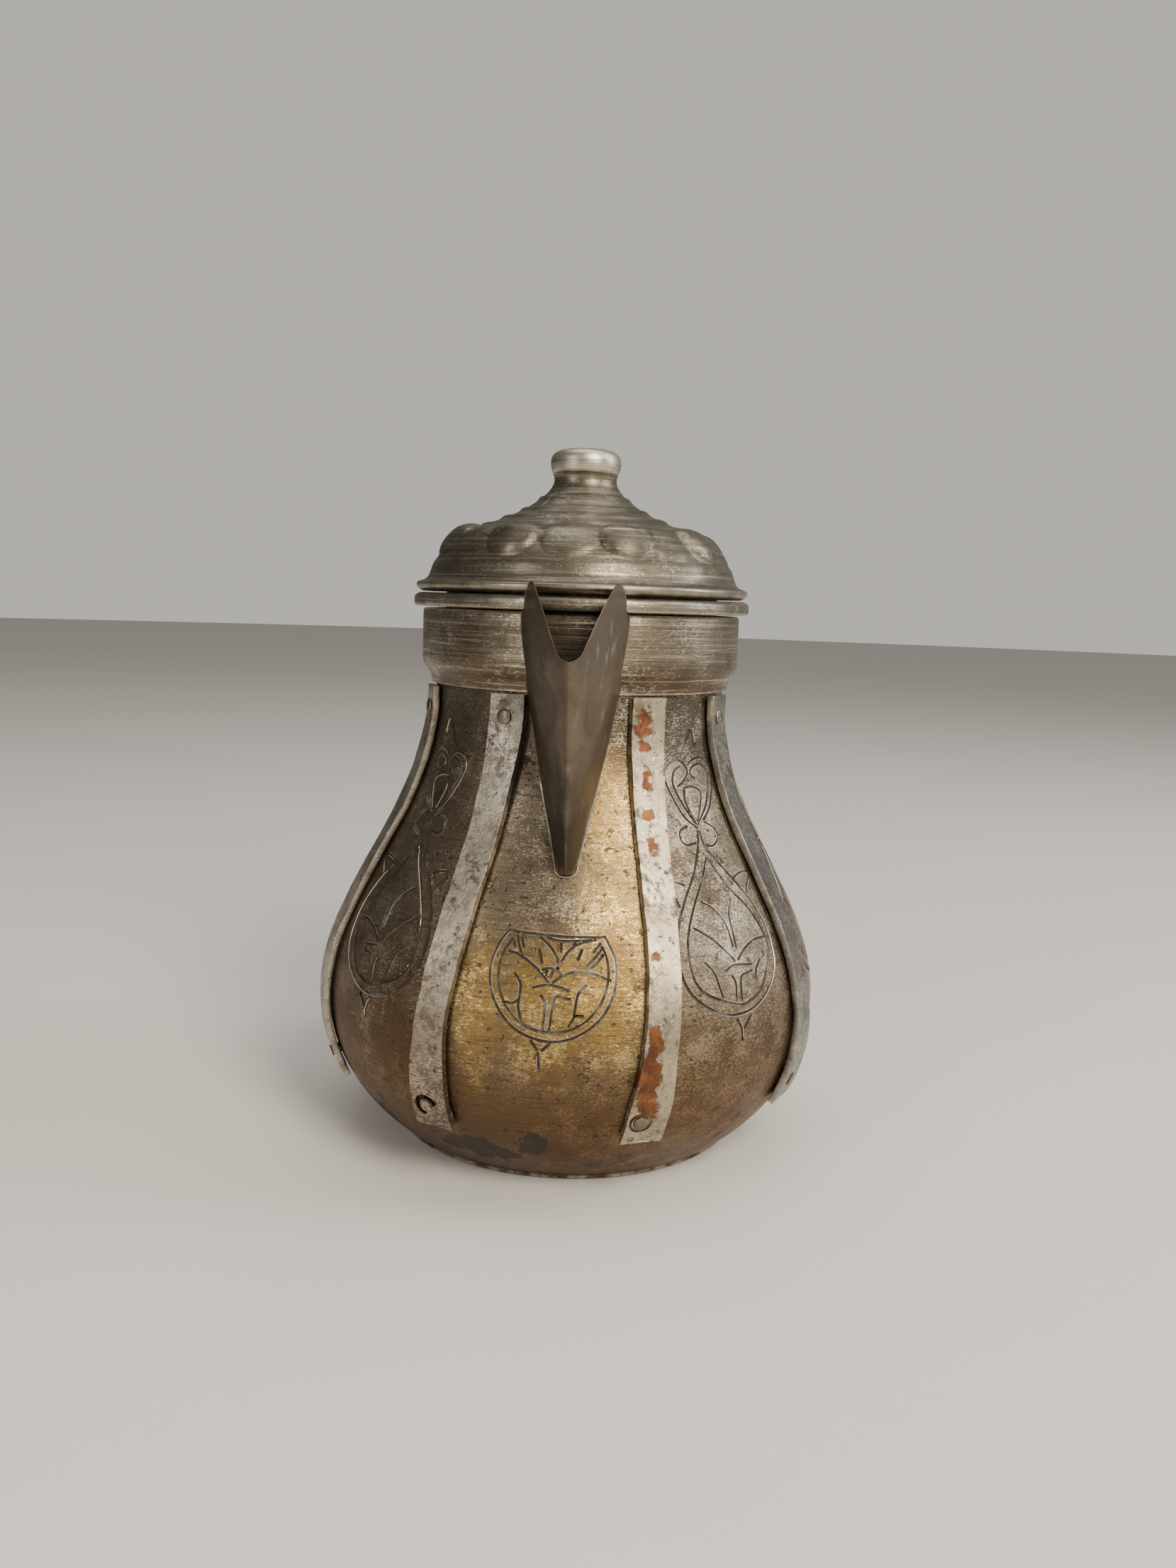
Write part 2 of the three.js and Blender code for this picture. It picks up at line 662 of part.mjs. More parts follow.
// One level of the beak: a soft V, closed behind by a straight line inside the body.
function beakSection(height, halfWidth, inset) {
  const ring = [];
  const steps = 16;
  const root = Math.min(bodyAt(Math.min(height, mouthHeight)).point.x, creaseAt(height) - inset);
  for (let i = 0; i <= steps; i++) {
    const share = (2 * i) / steps - 1;
    const depth = root + (creaseAt(height) - inset - root) * (1 - Math.abs(share) ** beakFold);
    ring.push(new THREE.Vector3(share * halfWidth, -depth, height));
  }
  ring.push(new THREE.Vector3(halfWidth, -insideBody, height));
  ring.push(new THREE.Vector3(-halfWidth, -insideBody, height));
  return ring;
}

function beakSolid(from, to, levels, narrower, inset) {
  const rings = [];
  const span = beakHorn + 1 - beakFoot;
  for (let i = 0; i <= levels; i++) {
    const height = from + ((to - from) * i) / levels;
    const share = Math.min(1, (height - beakFoot) / span);
    const halfWidth = beakWidth.getPointAt(share).y;
    rings.push(beakSection(height, Math.max(0.4, halfWidth - narrower), inset));
  }
  return lofted(rings);
}

// The mouth is a rounded V seen from the front, cut straight back, between two rounded corners.
const mouthSide = [
  v2(0, 0), v2(0.19, 0.07), v2(0.36, 0.34), v2(0.53, 0.6), v2(0.72, 0.9), v2(0.84, 1),
  v2(0.95, 0.95), v2(1.02, 0.82), v2(1.1, 0.6),
];

function mouthCut() {
  const side = new THREE.SplineCurve(mouthSide).getPoints(18);
  const across = [...side.slice(1).reverse().map((p) => v2(-p.x, p.y)), ...side];
  const outline = across.map((p) => v2(p.x * beakHornHalfWidth, beakLip + (beakHorn - beakLip) * p.y));
  const clear = 2 * beakHalfWidth;
  outline.push(v2(clear, beakHorn), v2(clear, beakHorn + 20));
  outline.push(v2(-clear, beakHorn + 20), v2(-clear, beakHorn));
  const geometry = new THREE.ExtrudeGeometry(new THREE.Shape(outline), {
    depth: beakReach + 10, bevelEnabled: false, steps: 1,
  });
  return solid(geometry.rotateX(Math.PI / 2));
}

const standRoom = turned([
  v2(0, 0), v2(footRadius, 0), ...alongBody(footRing + 0.5, collarBottom - seam, seam, roomSteps),
  ...collarCurve.getPoints(6).map((p) => v2(p.x + seam, p.y)),
  v2(collarRadius + seam, rimBottom - seam), v2(rimRadius - rimChamfer, rimBottom - seam),
  v2(rimRadius + seam, rimBottom + rimChamfer - seam), v2(rimRadius + seam, beakHorn + 2),
  v2(0, beakHorn + 2),
]);
const cavityFoot = beakFoot + 9;
const beak = beakSolid(beakFoot, beakHorn + 1, 20, 0, 0)
  .subtract(beakSolid(cavityFoot, beakHorn + 6, 20, beakWall, 1.25 * beakWall))
  .subtract(mouthCut())
  .subtract(standRoom);
add('beak', beak, darkCopper);

// Strainer holes through the neck wall, behind the beak.
strainerRows.forEach((count, row) => {
  const { point, normal } = bodyAt(strainerLow + row * strainerPitch);
  for (let i = 0; i < count; i++) {
    const aside = (i - (count - 1) / 2) * strainerPitch * 0.82;
    const bore = new THREE.CylinderGeometry(strainerHole, strainerHole, 10, 8).rotateX(Math.PI / 2);
    bodyDrills.push(standing(solid(bore), point, normal, 0, aside));
  }
});

// ---------------------------------------------------------------- body and base

const bodyOuter = [
  v2(footRadius, 0), ...upperFoot.getPoints(footSteps), ...shoulder.getPoints(shoulderSteps).slice(1),
  v2(neckRadius, mouthHeight),
];
const bodyInner = [
  v2(footRadius - wall, 0), v2(footRadius - wall, footRing + 0.6),
  ...shifted(upperFoot.getPoints(footSteps), -wall),
  ...shifted(shoulder.getPoints(shoulderSteps), -wall).slice(1),
  v2(mouthRadius, mouthHeight),
];
const bodyShell = turned(ringProfile([...bodyOuter, ...bodyInner.reverse()]));
add('body_shell', cutAll(bodyShell, bodyDrills), agedTin);

const plateRadius = footRadius - wall - seam;
add('base_plate', turned([
  v2(0, 0), v2(plateRadius, 0), v2(plateRadius, plateRim), v2(plateRadius - plateRimThickness, plateRim),
  v2(plateRadius - plateRimThickness, plateThickness), v2(0, plateThickness),
]), agedTin);

export default group;
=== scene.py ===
import math

import bpy
import numpy as np
from mathutils import Matrix, Vector


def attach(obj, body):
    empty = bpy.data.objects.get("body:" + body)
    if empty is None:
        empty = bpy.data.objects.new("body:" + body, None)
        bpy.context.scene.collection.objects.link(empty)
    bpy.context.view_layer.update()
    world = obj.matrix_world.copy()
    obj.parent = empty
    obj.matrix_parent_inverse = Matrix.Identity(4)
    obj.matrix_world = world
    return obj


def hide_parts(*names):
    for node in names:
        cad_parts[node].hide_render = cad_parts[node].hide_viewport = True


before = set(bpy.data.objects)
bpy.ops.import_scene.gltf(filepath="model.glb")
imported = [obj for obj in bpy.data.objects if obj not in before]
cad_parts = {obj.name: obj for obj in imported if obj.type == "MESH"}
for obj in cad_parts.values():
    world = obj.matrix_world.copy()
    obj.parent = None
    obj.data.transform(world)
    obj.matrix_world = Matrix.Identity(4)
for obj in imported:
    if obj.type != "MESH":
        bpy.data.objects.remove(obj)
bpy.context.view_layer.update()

MM = 0.001
TURN = 2 * math.pi
WELD = 1e-6  # points this near each other, in metres, are merged

# ------------------------------------------------------------------ sizes, in millimetres

FOOT_RADIUS = 52.5
FOOT_RING = 1.2
BELLY_RADIUS = 74.8
BELLY_HEIGHT = 42
NECK_RADIUS = 43.5
NECK_HEIGHT = 128
MOUTH_HEIGHT = 156.7
WALL = 1.5
SEAM = 0.3

COLLAR_RADIUS = 47.5
COLLAR_BOTTOM = 134.8
RIM_RADIUS = 50.1
RIM_BOTTOM = 157
RIM_TOP = 161

LID_BASE = 161.3
LID_TOP = 196.9
LID_WALL = 1.2
SLEEVE_RADIUS = 40.6

BEAK_FOOT = 88
BEAK_REACH = 78
BEAK_LIP = 144.9
BEAK_HORN = 164.6
BEAK_HALF_WIDTH = 15.2
BEAK_HORN_HALF_WIDTH = 14.9
BEAK_WALL = 1.5
BEAK_BACK = 29.5

RIB_TOP = 134.2
RIB_BOTTOM = 19.5
RIB_THICKNESS = 2
RIB_WAIST_WIDTH = 9.2
RIB_RIVET_INSET = 6.5
RIBS = {  # azimuth at the top and at the bottom, in degrees from the beak towards +X
    "front_right": (26, 16.8), "side_right": (64.5, 62.5), "rear_side_right": (110, 109),
    "back_right": (154, 154.5), "back_left": (205, 204), "rear_side_left": (247, 248),
    "side_left": (289, 291), "front_left": (336, 331.5),
}

PIN_REACH = 54.1
PIN_HEIGHT = 165
KNUCKLE_RADIUS = 3.1
KNUCKLE_MIDDLE = 5
HINGE_SPAN = 13.6
LEAF_THICKNESS = 1.5

HANDLE_WIDTH = 11
HANDLE_THICKNESS = 6
PALM_WIDTH = 14
PALM_THICKNESS = 2.5
PALM_UPPER = (107, 134)
PALM_LOWER = (38, 62)
PALM_RIVET_INSET = 4.5
PALM_RIVET_PITCH = 9

RIVET_DENT = 0.28
STRAINER_HEIGHT = 108
STRAINER_PITCH = 6.4
MEDALLION_HEIGHT = 63.7
MEDALLION_AZIMUTH = -1.7
LEAF_AZIMUTHS = (42.7, 86.5, 131.5)
MIRRORED_LEAF_AZIMUTHS = (-48.6, -91.5, -134.5)

# ------------------------------------------------------------------ profiles


def bezier(a, b, c, d, steps):
    """Points of a cubic curve in (radius, height)."""
    points = []
    for i in range(steps + 1):
        t = i / steps
        k = ((1 - t) ** 3, 3 * t * (1 - t) ** 2, 3 * t * t * (1 - t), t ** 3)
        points.append(tuple(sum(w * p[j] for w, p in zip(k, (a, b, c, d))) for j in (0, 1)))
    return points


def flowing(points, step):
    """A smooth line through the points, in pieces of about the step's length."""
    line = []
    last = len(points) - 1
    for i in range(last):
        p0, p1, p2, p3 = (np.array(points[max(0, min(last, i + k))], float) for k in (-1, 0, 1, 2))
        pieces = max(1, math.ceil(np.linalg.norm(p2 - p1) / step))
        for j in range(pieces):
            t = j / pieces
            line.append(tuple(0.5 * (2 * p1 + (p2 - p0) * t + (2 * p0 - 5 * p1 + 4 * p2 - p3) * t * t
                                     + (3 * p1 - p0 - 3 * p2 + p3) * t ** 3)))
    line.append(tuple(map(float, points[-1])))
    return line


def shifted(line, distance):
    """The line moved sideways, outwards for a positive distance where it climbs."""
    moved = []
    for i, p in enumerate(line):
        a, b = line[max(0, i - 1)], line[min(len(line) - 1, i + 1)]
        dr, dz = b[0] - a[0], b[1] - a[1]
        length = math.hypot(dr, dz)
        moved.append((p[0] + distance * dz / length, p[1] - distance * dr / length))
    return moved


def foot_curve(steps):
    return bezier((FOOT_RADIUS, FOOT_RING), (60, 7), (BELLY_RADIUS, 20), (BELLY_RADIUS, BELLY_HEIGHT), steps)


def shoulder_curve(steps):
    return bezier((BELLY_RADIUS, BELLY_HEIGHT), (BELLY_RADIUS, 73), (46.5, 93), (NECK_RADIUS, NECK_HEIGHT), steps)


BODY_LINE = foot_curve(120) + shoulder_curve(240)[1:] + [
    (NECK_RADIUS, z) for z in np.linspace(NECK_HEIGHT, MOUTH_HEIGHT, 40)[1:]]
BODY_R = np.array([p[0] for p in BODY_LINE])
BODY_Z = np.array([p[1] for p in BODY_LINE])
BODY_S = np.concatenate([[0], np.cumsum(np.hypot(np.diff(BODY_R), np.diff(BODY_Z)))])
MOTIF_LEVEL = 60  # height on the body from which the engravings are laid out
BODY_S -= np.interp(MOTIF_LEVEL, BODY_Z, BODY_S)


def body_at(height):
    """Radius of the body at a height, and its outward normal."""
    r = float(np.interp(height, BODY_Z, BODY_R))
    slope = float(np.interp(height + 0.4, BODY_Z, BODY_R) - np.interp(height - 0.4, BODY_Z, BODY_R)) / 0.8
    length = math.hypot(1, slope)
    return r, (1 / length, -slope / length)


def off_body(height, distance):
    r, n = body_at(height)
    return r + distance * n[0], height + distance * n[1]


def along_body(low, high, distance, steps):
    return [off_body(low + (high - low) * i / steps, distance) for i in range(steps + 1)]


# ------------------------------------------------------------------ modelling by operators


def fresh():
    if bpy.context.mode != "OBJECT":
        bpy.ops.object.mode_set(mode="OBJECT")
    bpy.ops.object.select_all(action="DESELECT")


def take(piece):
    fresh()
    piece.select_set(True)
    bpy.context.view_layer.objects.active = piece


def edit(piece):
    take(piece)
    bpy.ops.object.mode_set(mode="EDIT")
    bpy.ops.mesh.select_mode(type="VERT")


def all_of_it():
    bpy.ops.mesh.select_all(action="SELECT")


def done(piece):
    """Back to object mode, with the piece's place in its mesh."""
    take(piece)
    bpy.ops.object.transform_apply(location=True, rotation=True, scale=True)
    return piece


def pick(piece, wanted):
    """Selects the vertices whose places, a row of x, y and z in millimetres each, wanted says yes to."""
    take(piece)
    mesh = piece.data
    places = np.empty(len(mesh.vertices) * 3, np.float32)
    mesh.vertices.foreach_get("co", places)
    mesh.polygons.foreach_set("select", np.zeros(len(mesh.polygons), bool))
    mesh.edges.foreach_set("select", np.zeros(len(mesh.edges), bool))
    mesh.vertices.foreach_set("select", wanted(places.reshape(-1, 3) / MM))
    bpy.ops.object.mode_set(mode="EDIT")
    bpy.ops.mesh.select_mode(type="VERT")


def chain(name, points):
    """A single point drawn out along a line of points in millimetres."""
    fresh()
    points = [Vector(p) * MM for p in points]
    bpy.ops.mesh.primitive_circle_add(vertices=3, radius=MM, location=points[0])
    piece = bpy.context.object
    piece.name = name
    piece.data.name = name
    edit(piece)
    all_of_it()
    bpy.ops.mesh.merge(type="CENTER")
    for a, b in zip(points, points[1:]):
        bpy.ops.mesh.extrude_region_move(TRANSFORM_OT_translate={"value": b - a})
    return piece


def tidy_mesh(piece, threshold=WELD):
    edit(piece)
    all_of_it()
    bpy.ops.mesh.remove_doubles(threshold=threshold)
    bpy.ops.mesh.normals_make_consistent(inside=False)
    return done(piece)


def turned(name, profile, sides, closed=False):
    """A profile in (radius, height) spun once round the pot's axis."""
    line = [(0, -r, z) for r, z in profile]
    if closed:
        line.append(line[0])
    piece = chain(name, line)
    all_of_it()
    bpy.ops.mesh.spin(steps=sides, angle=TURN, center=(0, 0, 0), axis=(0, 0, 1))
    return tidy_mesh(piece)


def slab(name, outline, push):
    """A flat closed outline, filled and drawn out by the push, in metres."""
    piece = chain(name, outline + outline[:1])
    all_of_it()
    bpy.ops.mesh.remove_doubles(threshold=WELD)
    bpy.ops.mesh.edge_face_add()
    bpy.ops.mesh.extrude_region_move(TRANSFORM_OT_translate={"value": push})
    return tidy_mesh(piece)


def plate(name, outline, width):
    """A closed outline in (y, z) drawn out across x."""
    return slab(name, [(-width / 2, y, z) for y, z in outline], (width * MM, 0, 0))


def band(name, line, width, across):
    """A strip that follows a line of (y, z), with its width across x."""
    piece = chain(name, [(-width / 2, y, z) for y, z in line])
    all_of_it()
    for _ in range(across):
        bpy.ops.mesh.extrude_region_move(TRANSFORM_OT_translate={"value": (width / across * MM, 0, 0)})
    return tidy_mesh(piece)


def modifier(piece, kind, **settings):
    take(piece)
    made = piece.modifiers.new(kind.lower(), kind)
    for key, value in settings.items():
        setattr(made, key, value)
    bpy.ops.object.modifier_apply(modifier=made.name)
    return piece


def rounded(piece, width, angle, segments=2):
    """Rounds every edge that turns by more than the angle."""
    return modifier(piece, "BEVEL", width=width * MM, segments=segments, limit_method="ANGLE",
                    angle_limit=math.radians(angle), use_clamp_overlap=True)


def combine(piece, other, operation="DIFFERENCE"):
    """Cuts the other solid away from the piece, or joins the two."""
    modifier(piece, "BOOLEAN", object=other, operation=operation, solver="MANIFOLD",
             material_mode="TRANSFER")
    bpy.data.objects.remove(other)
    return piece


def copied(piece, name):
    twin = piece.copy()
    twin.data = piece.data.copy()
    twin.name = name
    twin.data.name = name
    bpy.context.scene.collection.objects.link(twin)
    return twin


def moved(piece, matrix):
    piece.data.transform(matrix)
    if matrix.determinant() < 0:
        piece.data.flip_normals()
    return piece


def spun(piece, azimuth):
    return moved(piece, Matrix.Rotation(math.radians(azimuth), 4, "Z"))


def stood(piece, foot, normal, azimuth, aside=0):
    """Stands a piece made along +Z on a profile point, leaving along the normal."""
    a = math.radians(azimuth)
    away = Vector((math.sin(a), -math.cos(a), 0))
    side = Vector((math.cos(a), math.sin(a), 0))
    out = away * normal[0] + Vector((0, 0, normal[1]))
    other = out.cross(side)
    at = (away * foot[0] + Vector((0, 0, foot[1])) + side * aside) * MM
    return moved(piece, Matrix.Translation(at) @ Matrix((side, other, out)).transposed().to_4x4())


def dented(piece, size, depth, direction="NORMAL", middle=1.0):
    """Soft hollows of a size and depth in millimetres."""
    cloud = bpy.data.textures.new(piece.name + "_cloud", "CLOUDS")
    cloud.noise_scale = size * MM
    cloud.noise_depth = 2
    return modifier(piece, "DISPLACE", texture=cloud, texture_coords="LOCAL", direction=direction,
                    strength=depth * MM, mid_level=middle)


def mound(piece, at, push, size, falloff="SPHERE"):
    """Pushes the surface out round the vertex nearest to a point. All in millimetres."""
    def nearest(places):
        distance = ((places - np.array(at)) ** 2).sum(1)
        return np.arange(len(places)) == np.argmin(distance)

    pick(piece, nearest)
    bpy.ops.transform.translate(value=Vector(push) * MM, use_proportional_edit=True,
                                proportional_edit_falloff=falloff, proportional_size=size * MM)
    fresh()


def finished(piece, body, slot, *nodes, angle=35):
    """Smooths the piece, says which body it rides and hides the nodes it replaces. Its slot argument is not used.
    """
    take(piece)
    bpy.ops.object.shade_smooth_by_angle(angle=math.radians(angle))
    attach(piece, body)
    if nodes:
        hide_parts(*nodes)
    return piece

# ------------------------------------------------------------------ materials

BROWN = (0.090, 0.066, 0.041, 1)
LOW_BROWN = (0.105, 0.057, 0.025, 1)
NECK_PAINTED_SHADE = (0.066, 0.054, 0.040, 1)
TIN = (0.185, 0.148, 0.100, 1)
BRIGHT_TIN = (0.60, 0.53, 0.42, 1)
BELLY_GLINT = (0.58, 0.495, 0.375, 1)
FOOT_GLINT = (0.27, 0.165, 0.083, 1)
COPPER = (0.245, 0.098, 0.040, 1)
RED_BROWN = (0.115, 0.050, 0.028, 1)
BRASS_AND_WARM_HIGHLIGHT = (0.27, 0.168, 0.050, 1)
GOLD = (0.84, 0.585, 0.19, 1)
GOLD_GLINT_FLAKE = (0.92, 0.68, 0.28, 1)
SCRATCH_BROWN = (0.050, 0.038, 0.026, 1)
TURNED_BROWN = (0.055, 0.045, 0.033, 1)
GRIME = (0.024, 0.019, 0.013, 1)
SOOT = (0.030, 0.026, 0.022, 1)
WHITE_BLOOM = (0.60, 0.58, 0.53, 1)
PALE_STREAK = (0.36, 0.33, 0.28, 1)


class Net:
    """One node tree. Each method adds a node and gives back what it puts out."""

    def __init__(self, tree, place=None):
        self.tree = tree
        self.place = place

    def feed(self, value, socket):
        if isinstance(value, bpy.types.NodeSocket):
            self.tree.links.new(value, socket)
        else:
            socket.default_value = value

    def add(self, kind, inputs=None, **settings):
        node = self.tree.nodes.new("ShaderNode" + kind)
        for key, value in settings.items():
            setattr(node, key, value)
        for key, value in (inputs or {}).items():
            self.feed(value, node.inputs[key])
        return node.outputs

    def math(self, operation, a, b, clamp=False):
        return self.add("Math", {0: a, 1: b}, operation=operation, use_clamp=clamp)[0]

    def plus(self, a, b, clamp=False):
        return self.math("ADD", a, b, clamp)

    def minus(self, a, b):
        return self.math("SUBTRACT", a, b)

    def times(self, a, b):
        return self.math("MULTIPLY", a, b)

    def most(self, a, b):
        return self.math("MAXIMUM", a, b)

    def vector(self, operation, a, b=(0, 0, 0)):
        return self.add("VectorMath", {0: a, 1: b}, operation=operation)

    def axes(self):
        return self.add("SeparateXYZ", {0: self.place})

    def mixed(self, factor, a, b):
        return self.add("Mix", {0: factor, 6: a, 7: b}, data_type="RGBA")[2]

    def choice(self, factor, a, b):
        return self.add("Mix", {0: factor, 2: a, 3: b}, data_type="FLOAT")[0]

    def ramp(self, value, low, high, out_low=0.0, out_high=1.0):
        return self.add("MapRange", {0: value, 1: low, 2: high, 3: out_low, 4: out_high},
                        interpolation_type="SMOOTHSTEP")[0]

    def noise(self, place, scale, detail, roughness):
        return self.add("TexNoise", {
            "Vector": place, "Scale": scale, "Detail": detail, "Roughness": roughness})[0]

    def use(self, group, **inputs):
        return self.add("Group", {"Place": self.place, **inputs}, node_tree=group)

    def tarnish(self, scale, start, end):
        return self.use(TARNISH, Scale=scale, Start=start, End=end)[0]

    def spots(self, stains, grain=160.0, softness=0.12):
        """The strongest of several stains: (azimuth, height, radius, (across, up), raggedness)."""
        total = None
        for azimuth, height, radius, (across, up), ragged in stains:
            a = math.radians(azimuth)
            centre = (radius * MM * math.sin(a), -radius * MM * math.cos(a), height * MM)
            mask = self.use(STAIN, Centre=centre, Size=(across * MM, across * MM, up * MM),
                            Raggedness=ragged, Grain=grain, Softness=softness)[0]
            total = self.most(total, mask) if total else mask
        return total


def effect(name, inputs, outputs=("Mask",)):
    """A node group that reads Place and the named inputs, given with their usual values."""
    tree = bpy.data.node_groups.new(name, "ShaderNodeTree")
    for label, value in {"Place": (0, 0, 0), **inputs}.items():
        kind = "NodeSocketVector" if isinstance(value, tuple) else "NodeSocketFloat"
        tree.interface.new_socket(label, in_out="INPUT", socket_type=kind).default_value = value
    for label in outputs:
        tree.interface.new_socket(label, in_out="OUTPUT", socket_type="NodeSocketFloat")
    given, result = tree.nodes.new("NodeGroupInput").outputs, tree.nodes.new("NodeGroupOutput").inputs
    return Net(tree, given["Place"]), given, result


def make_tarnish():
    net, given, result = effect("tarnish clouds", {"Scale": 30.0, "Start": 0.45, "End": 0.6})
    cloud = net.noise(net.place, given["Scale"], 9.0, 0.68)
    net.feed(net.ramp(cloud, given["Start"], given["End"]), result["Mask"])
    return net.tree


def make_turning():
    net, given, result = effect("turning lines", {"Lines": 2400.0, "Drag": 45.0}, ("Height", "Scratch", "Groove"))
    x, y, z = net.axes()
    flat = net.add("CombineXYZ", {0: net.times(x, given["Drag"]), 1: net.times(y, given["Drag"]),
                                  2: net.times(z, given["Lines"])})[0]
    lines = net.noise(flat, 1.0, 4.0, 0.7)
    net.feed(lines, result["Height"])
    net.feed(net.ramp(lines, 0.54, 0.66), result["Scratch"])
    net.feed(net.ramp(lines, 0.47, 0.37), result["Groove"])
    return net.tree


def make_speckle():
    # bright specks: partly rubbed tin, partly painted glints on the fine grain
    net, given, result = effect("rubbed speckle and painted glints", {"Scale": 1500.0, "Amount": 0.5})
    sideways = net.vector("MULTIPLY", net.place, (0.55, 0.55, 1.5))[0]
    fine = net.noise(sideways, given["Scale"], 4.0, 0.8)
    wide = net.noise(net.place, 85.0, 6.0, 0.7)
    level = net.plus(net.plus(fine, net.times(wide, 0.6)), net.times(given["Amount"], 0.3))
    net.feed(net.ramp(level, 0.985, 1.04), result["Mask"])
    return net.tree


def make_stain():
    net, given, result = effect("stain", {
        "Centre": (0, 0, 0), "Size": (1, 1, 1), "Raggedness": 0.4, "Grain": 160.0, "Softness": 0.12})
    away = net.vector("SUBTRACT", net.place, given["Centre"])[0]
    distance = net.vector("LENGTH", net.vector("DIVIDE", away, given["Size"])[0])["Value"]
    torn = net.minus(net.noise(net.place, given["Grain"], 5.0, 0.65), 0.5)
    torn = net.times(torn, net.times(given["Raggedness"], 5.0))
    edge = given["Softness"]
    net.feed(net.ramp(net.plus(distance, torn), net.plus(1.0, edge), net.minus(1.0, edge)), result["Mask"])
    return net.tree


def make_edge_wear():
    net, given, result = effect("edge wear", {"Amount": 0.5})
    broken = net.minus(net.noise(net.place, 320.0, 4.0, 0.5), 0.5)
    level = net.plus(net.add("NewGeometry")["Pointiness"], net.times(broken, 0.06))
    net.feed(net.times(net.ramp(level, 0.515, 0.57), given["Amount"]), result["Mask"])
    return net.tree


def make_grain():
    net, given, result = effect("metal grain", {"Pitting": 0.5}, ("Height", "Pits"))
    fine = net.noise(net.place, 2100.0, 3.0, 0.7)
    broad = net.noise(net.place, 330.0, 4.0, 0.6)
    holes = net.noise(net.place, 520.0, 2.0, 0.5)
    pits = net.times(net.ramp(holes, 0.64, 0.70), given["Pitting"])
    net.feed(net.minus(net.plus(net.times(fine, 0.45), broad), pits), result["Height"])
    net.feed(pits, result["Pits"])
    return net.tree


TARNISH = make_tarnish()
TURNING = make_turning()
SPECKLE = make_speckle()
STAIN = make_stain()
EDGE_WEAR = make_edge_wear()
GRAIN = make_grain()


class Finish(Net):
    """A material in the making: colours are laid one over another, then it is dressed."""

    def __init__(self, name, specular=0.5):
        self.material = bpy.data.materials.new(name)
        self.material.use_nodes = True
        super().__init__(self.material.node_tree)
        self.surface = self.tree.nodes["Principled BSDF"].inputs
        self.surface["Specular IOR Level"].default_value = specular
        self.place = self.add("TexCoord")["Object"]
        self.color = None

    def lay(self, mask, color):
        self.color = self.mixed(mask, self.color, color)

    def worn_edge(self, amount, color):
        edge = self.use(EDGE_WEAR, Amount=amount)[0]
        self.lay(edge, color)

    def dressed(self, roughness, metallic, relief=None, depth=0.0):
        """Feeds the shader. The relief's depth is in millimetres."""
        self.feed(self.color, self.surface["Base Color"])
        self.feed(roughness, self.surface["Roughness"])
        self.feed(metallic, self.surface["Metallic"])
        if relief:
            bump = self.add("Bump", {"Strength": 0.6, "Distance": depth * MM, "Height": relief})
            self.feed(bump[0], self.surface["Normal"])
        return self.material


# brass tone with a painted warm highlight: stains beside the beak and right of the left rib, where the warm lamps
# reflect
BRASS_AND_HIGHLIGHT_AREA = [(13, 104, 53, (10, 22), 0.3), (14, 80, 65, (11, 20), 0.3), (10, 60, 73, (12, 18), 0.3),
               (343, 62, 74, (7, 22), 0.3), (358, 58, 74, (16, 16), 0.3)]
BLOTCHES = [(340, 12, 65, (12, 4.2), 0.9), (354, 15, 67, (5, 4.6), 1.0), (332, 23, 71, (3, 4.4), 1.0),
            (306, 12, 65, (9, 3), 1.0), (9, 20, 70, (1.6, 1.4), 1.0), (60, 22, 71, (6, 3), 1.2),
            (140, 16, 67, (9, 5), 0.8), (215, 18, 68, (8, 4), 0.8), (300, 15, 66, (7, 4), 0.8),
            (347, 92, 60, (2.6, 1.6), 1.4), (340, 117, 48, (5, 3), 1.2)]


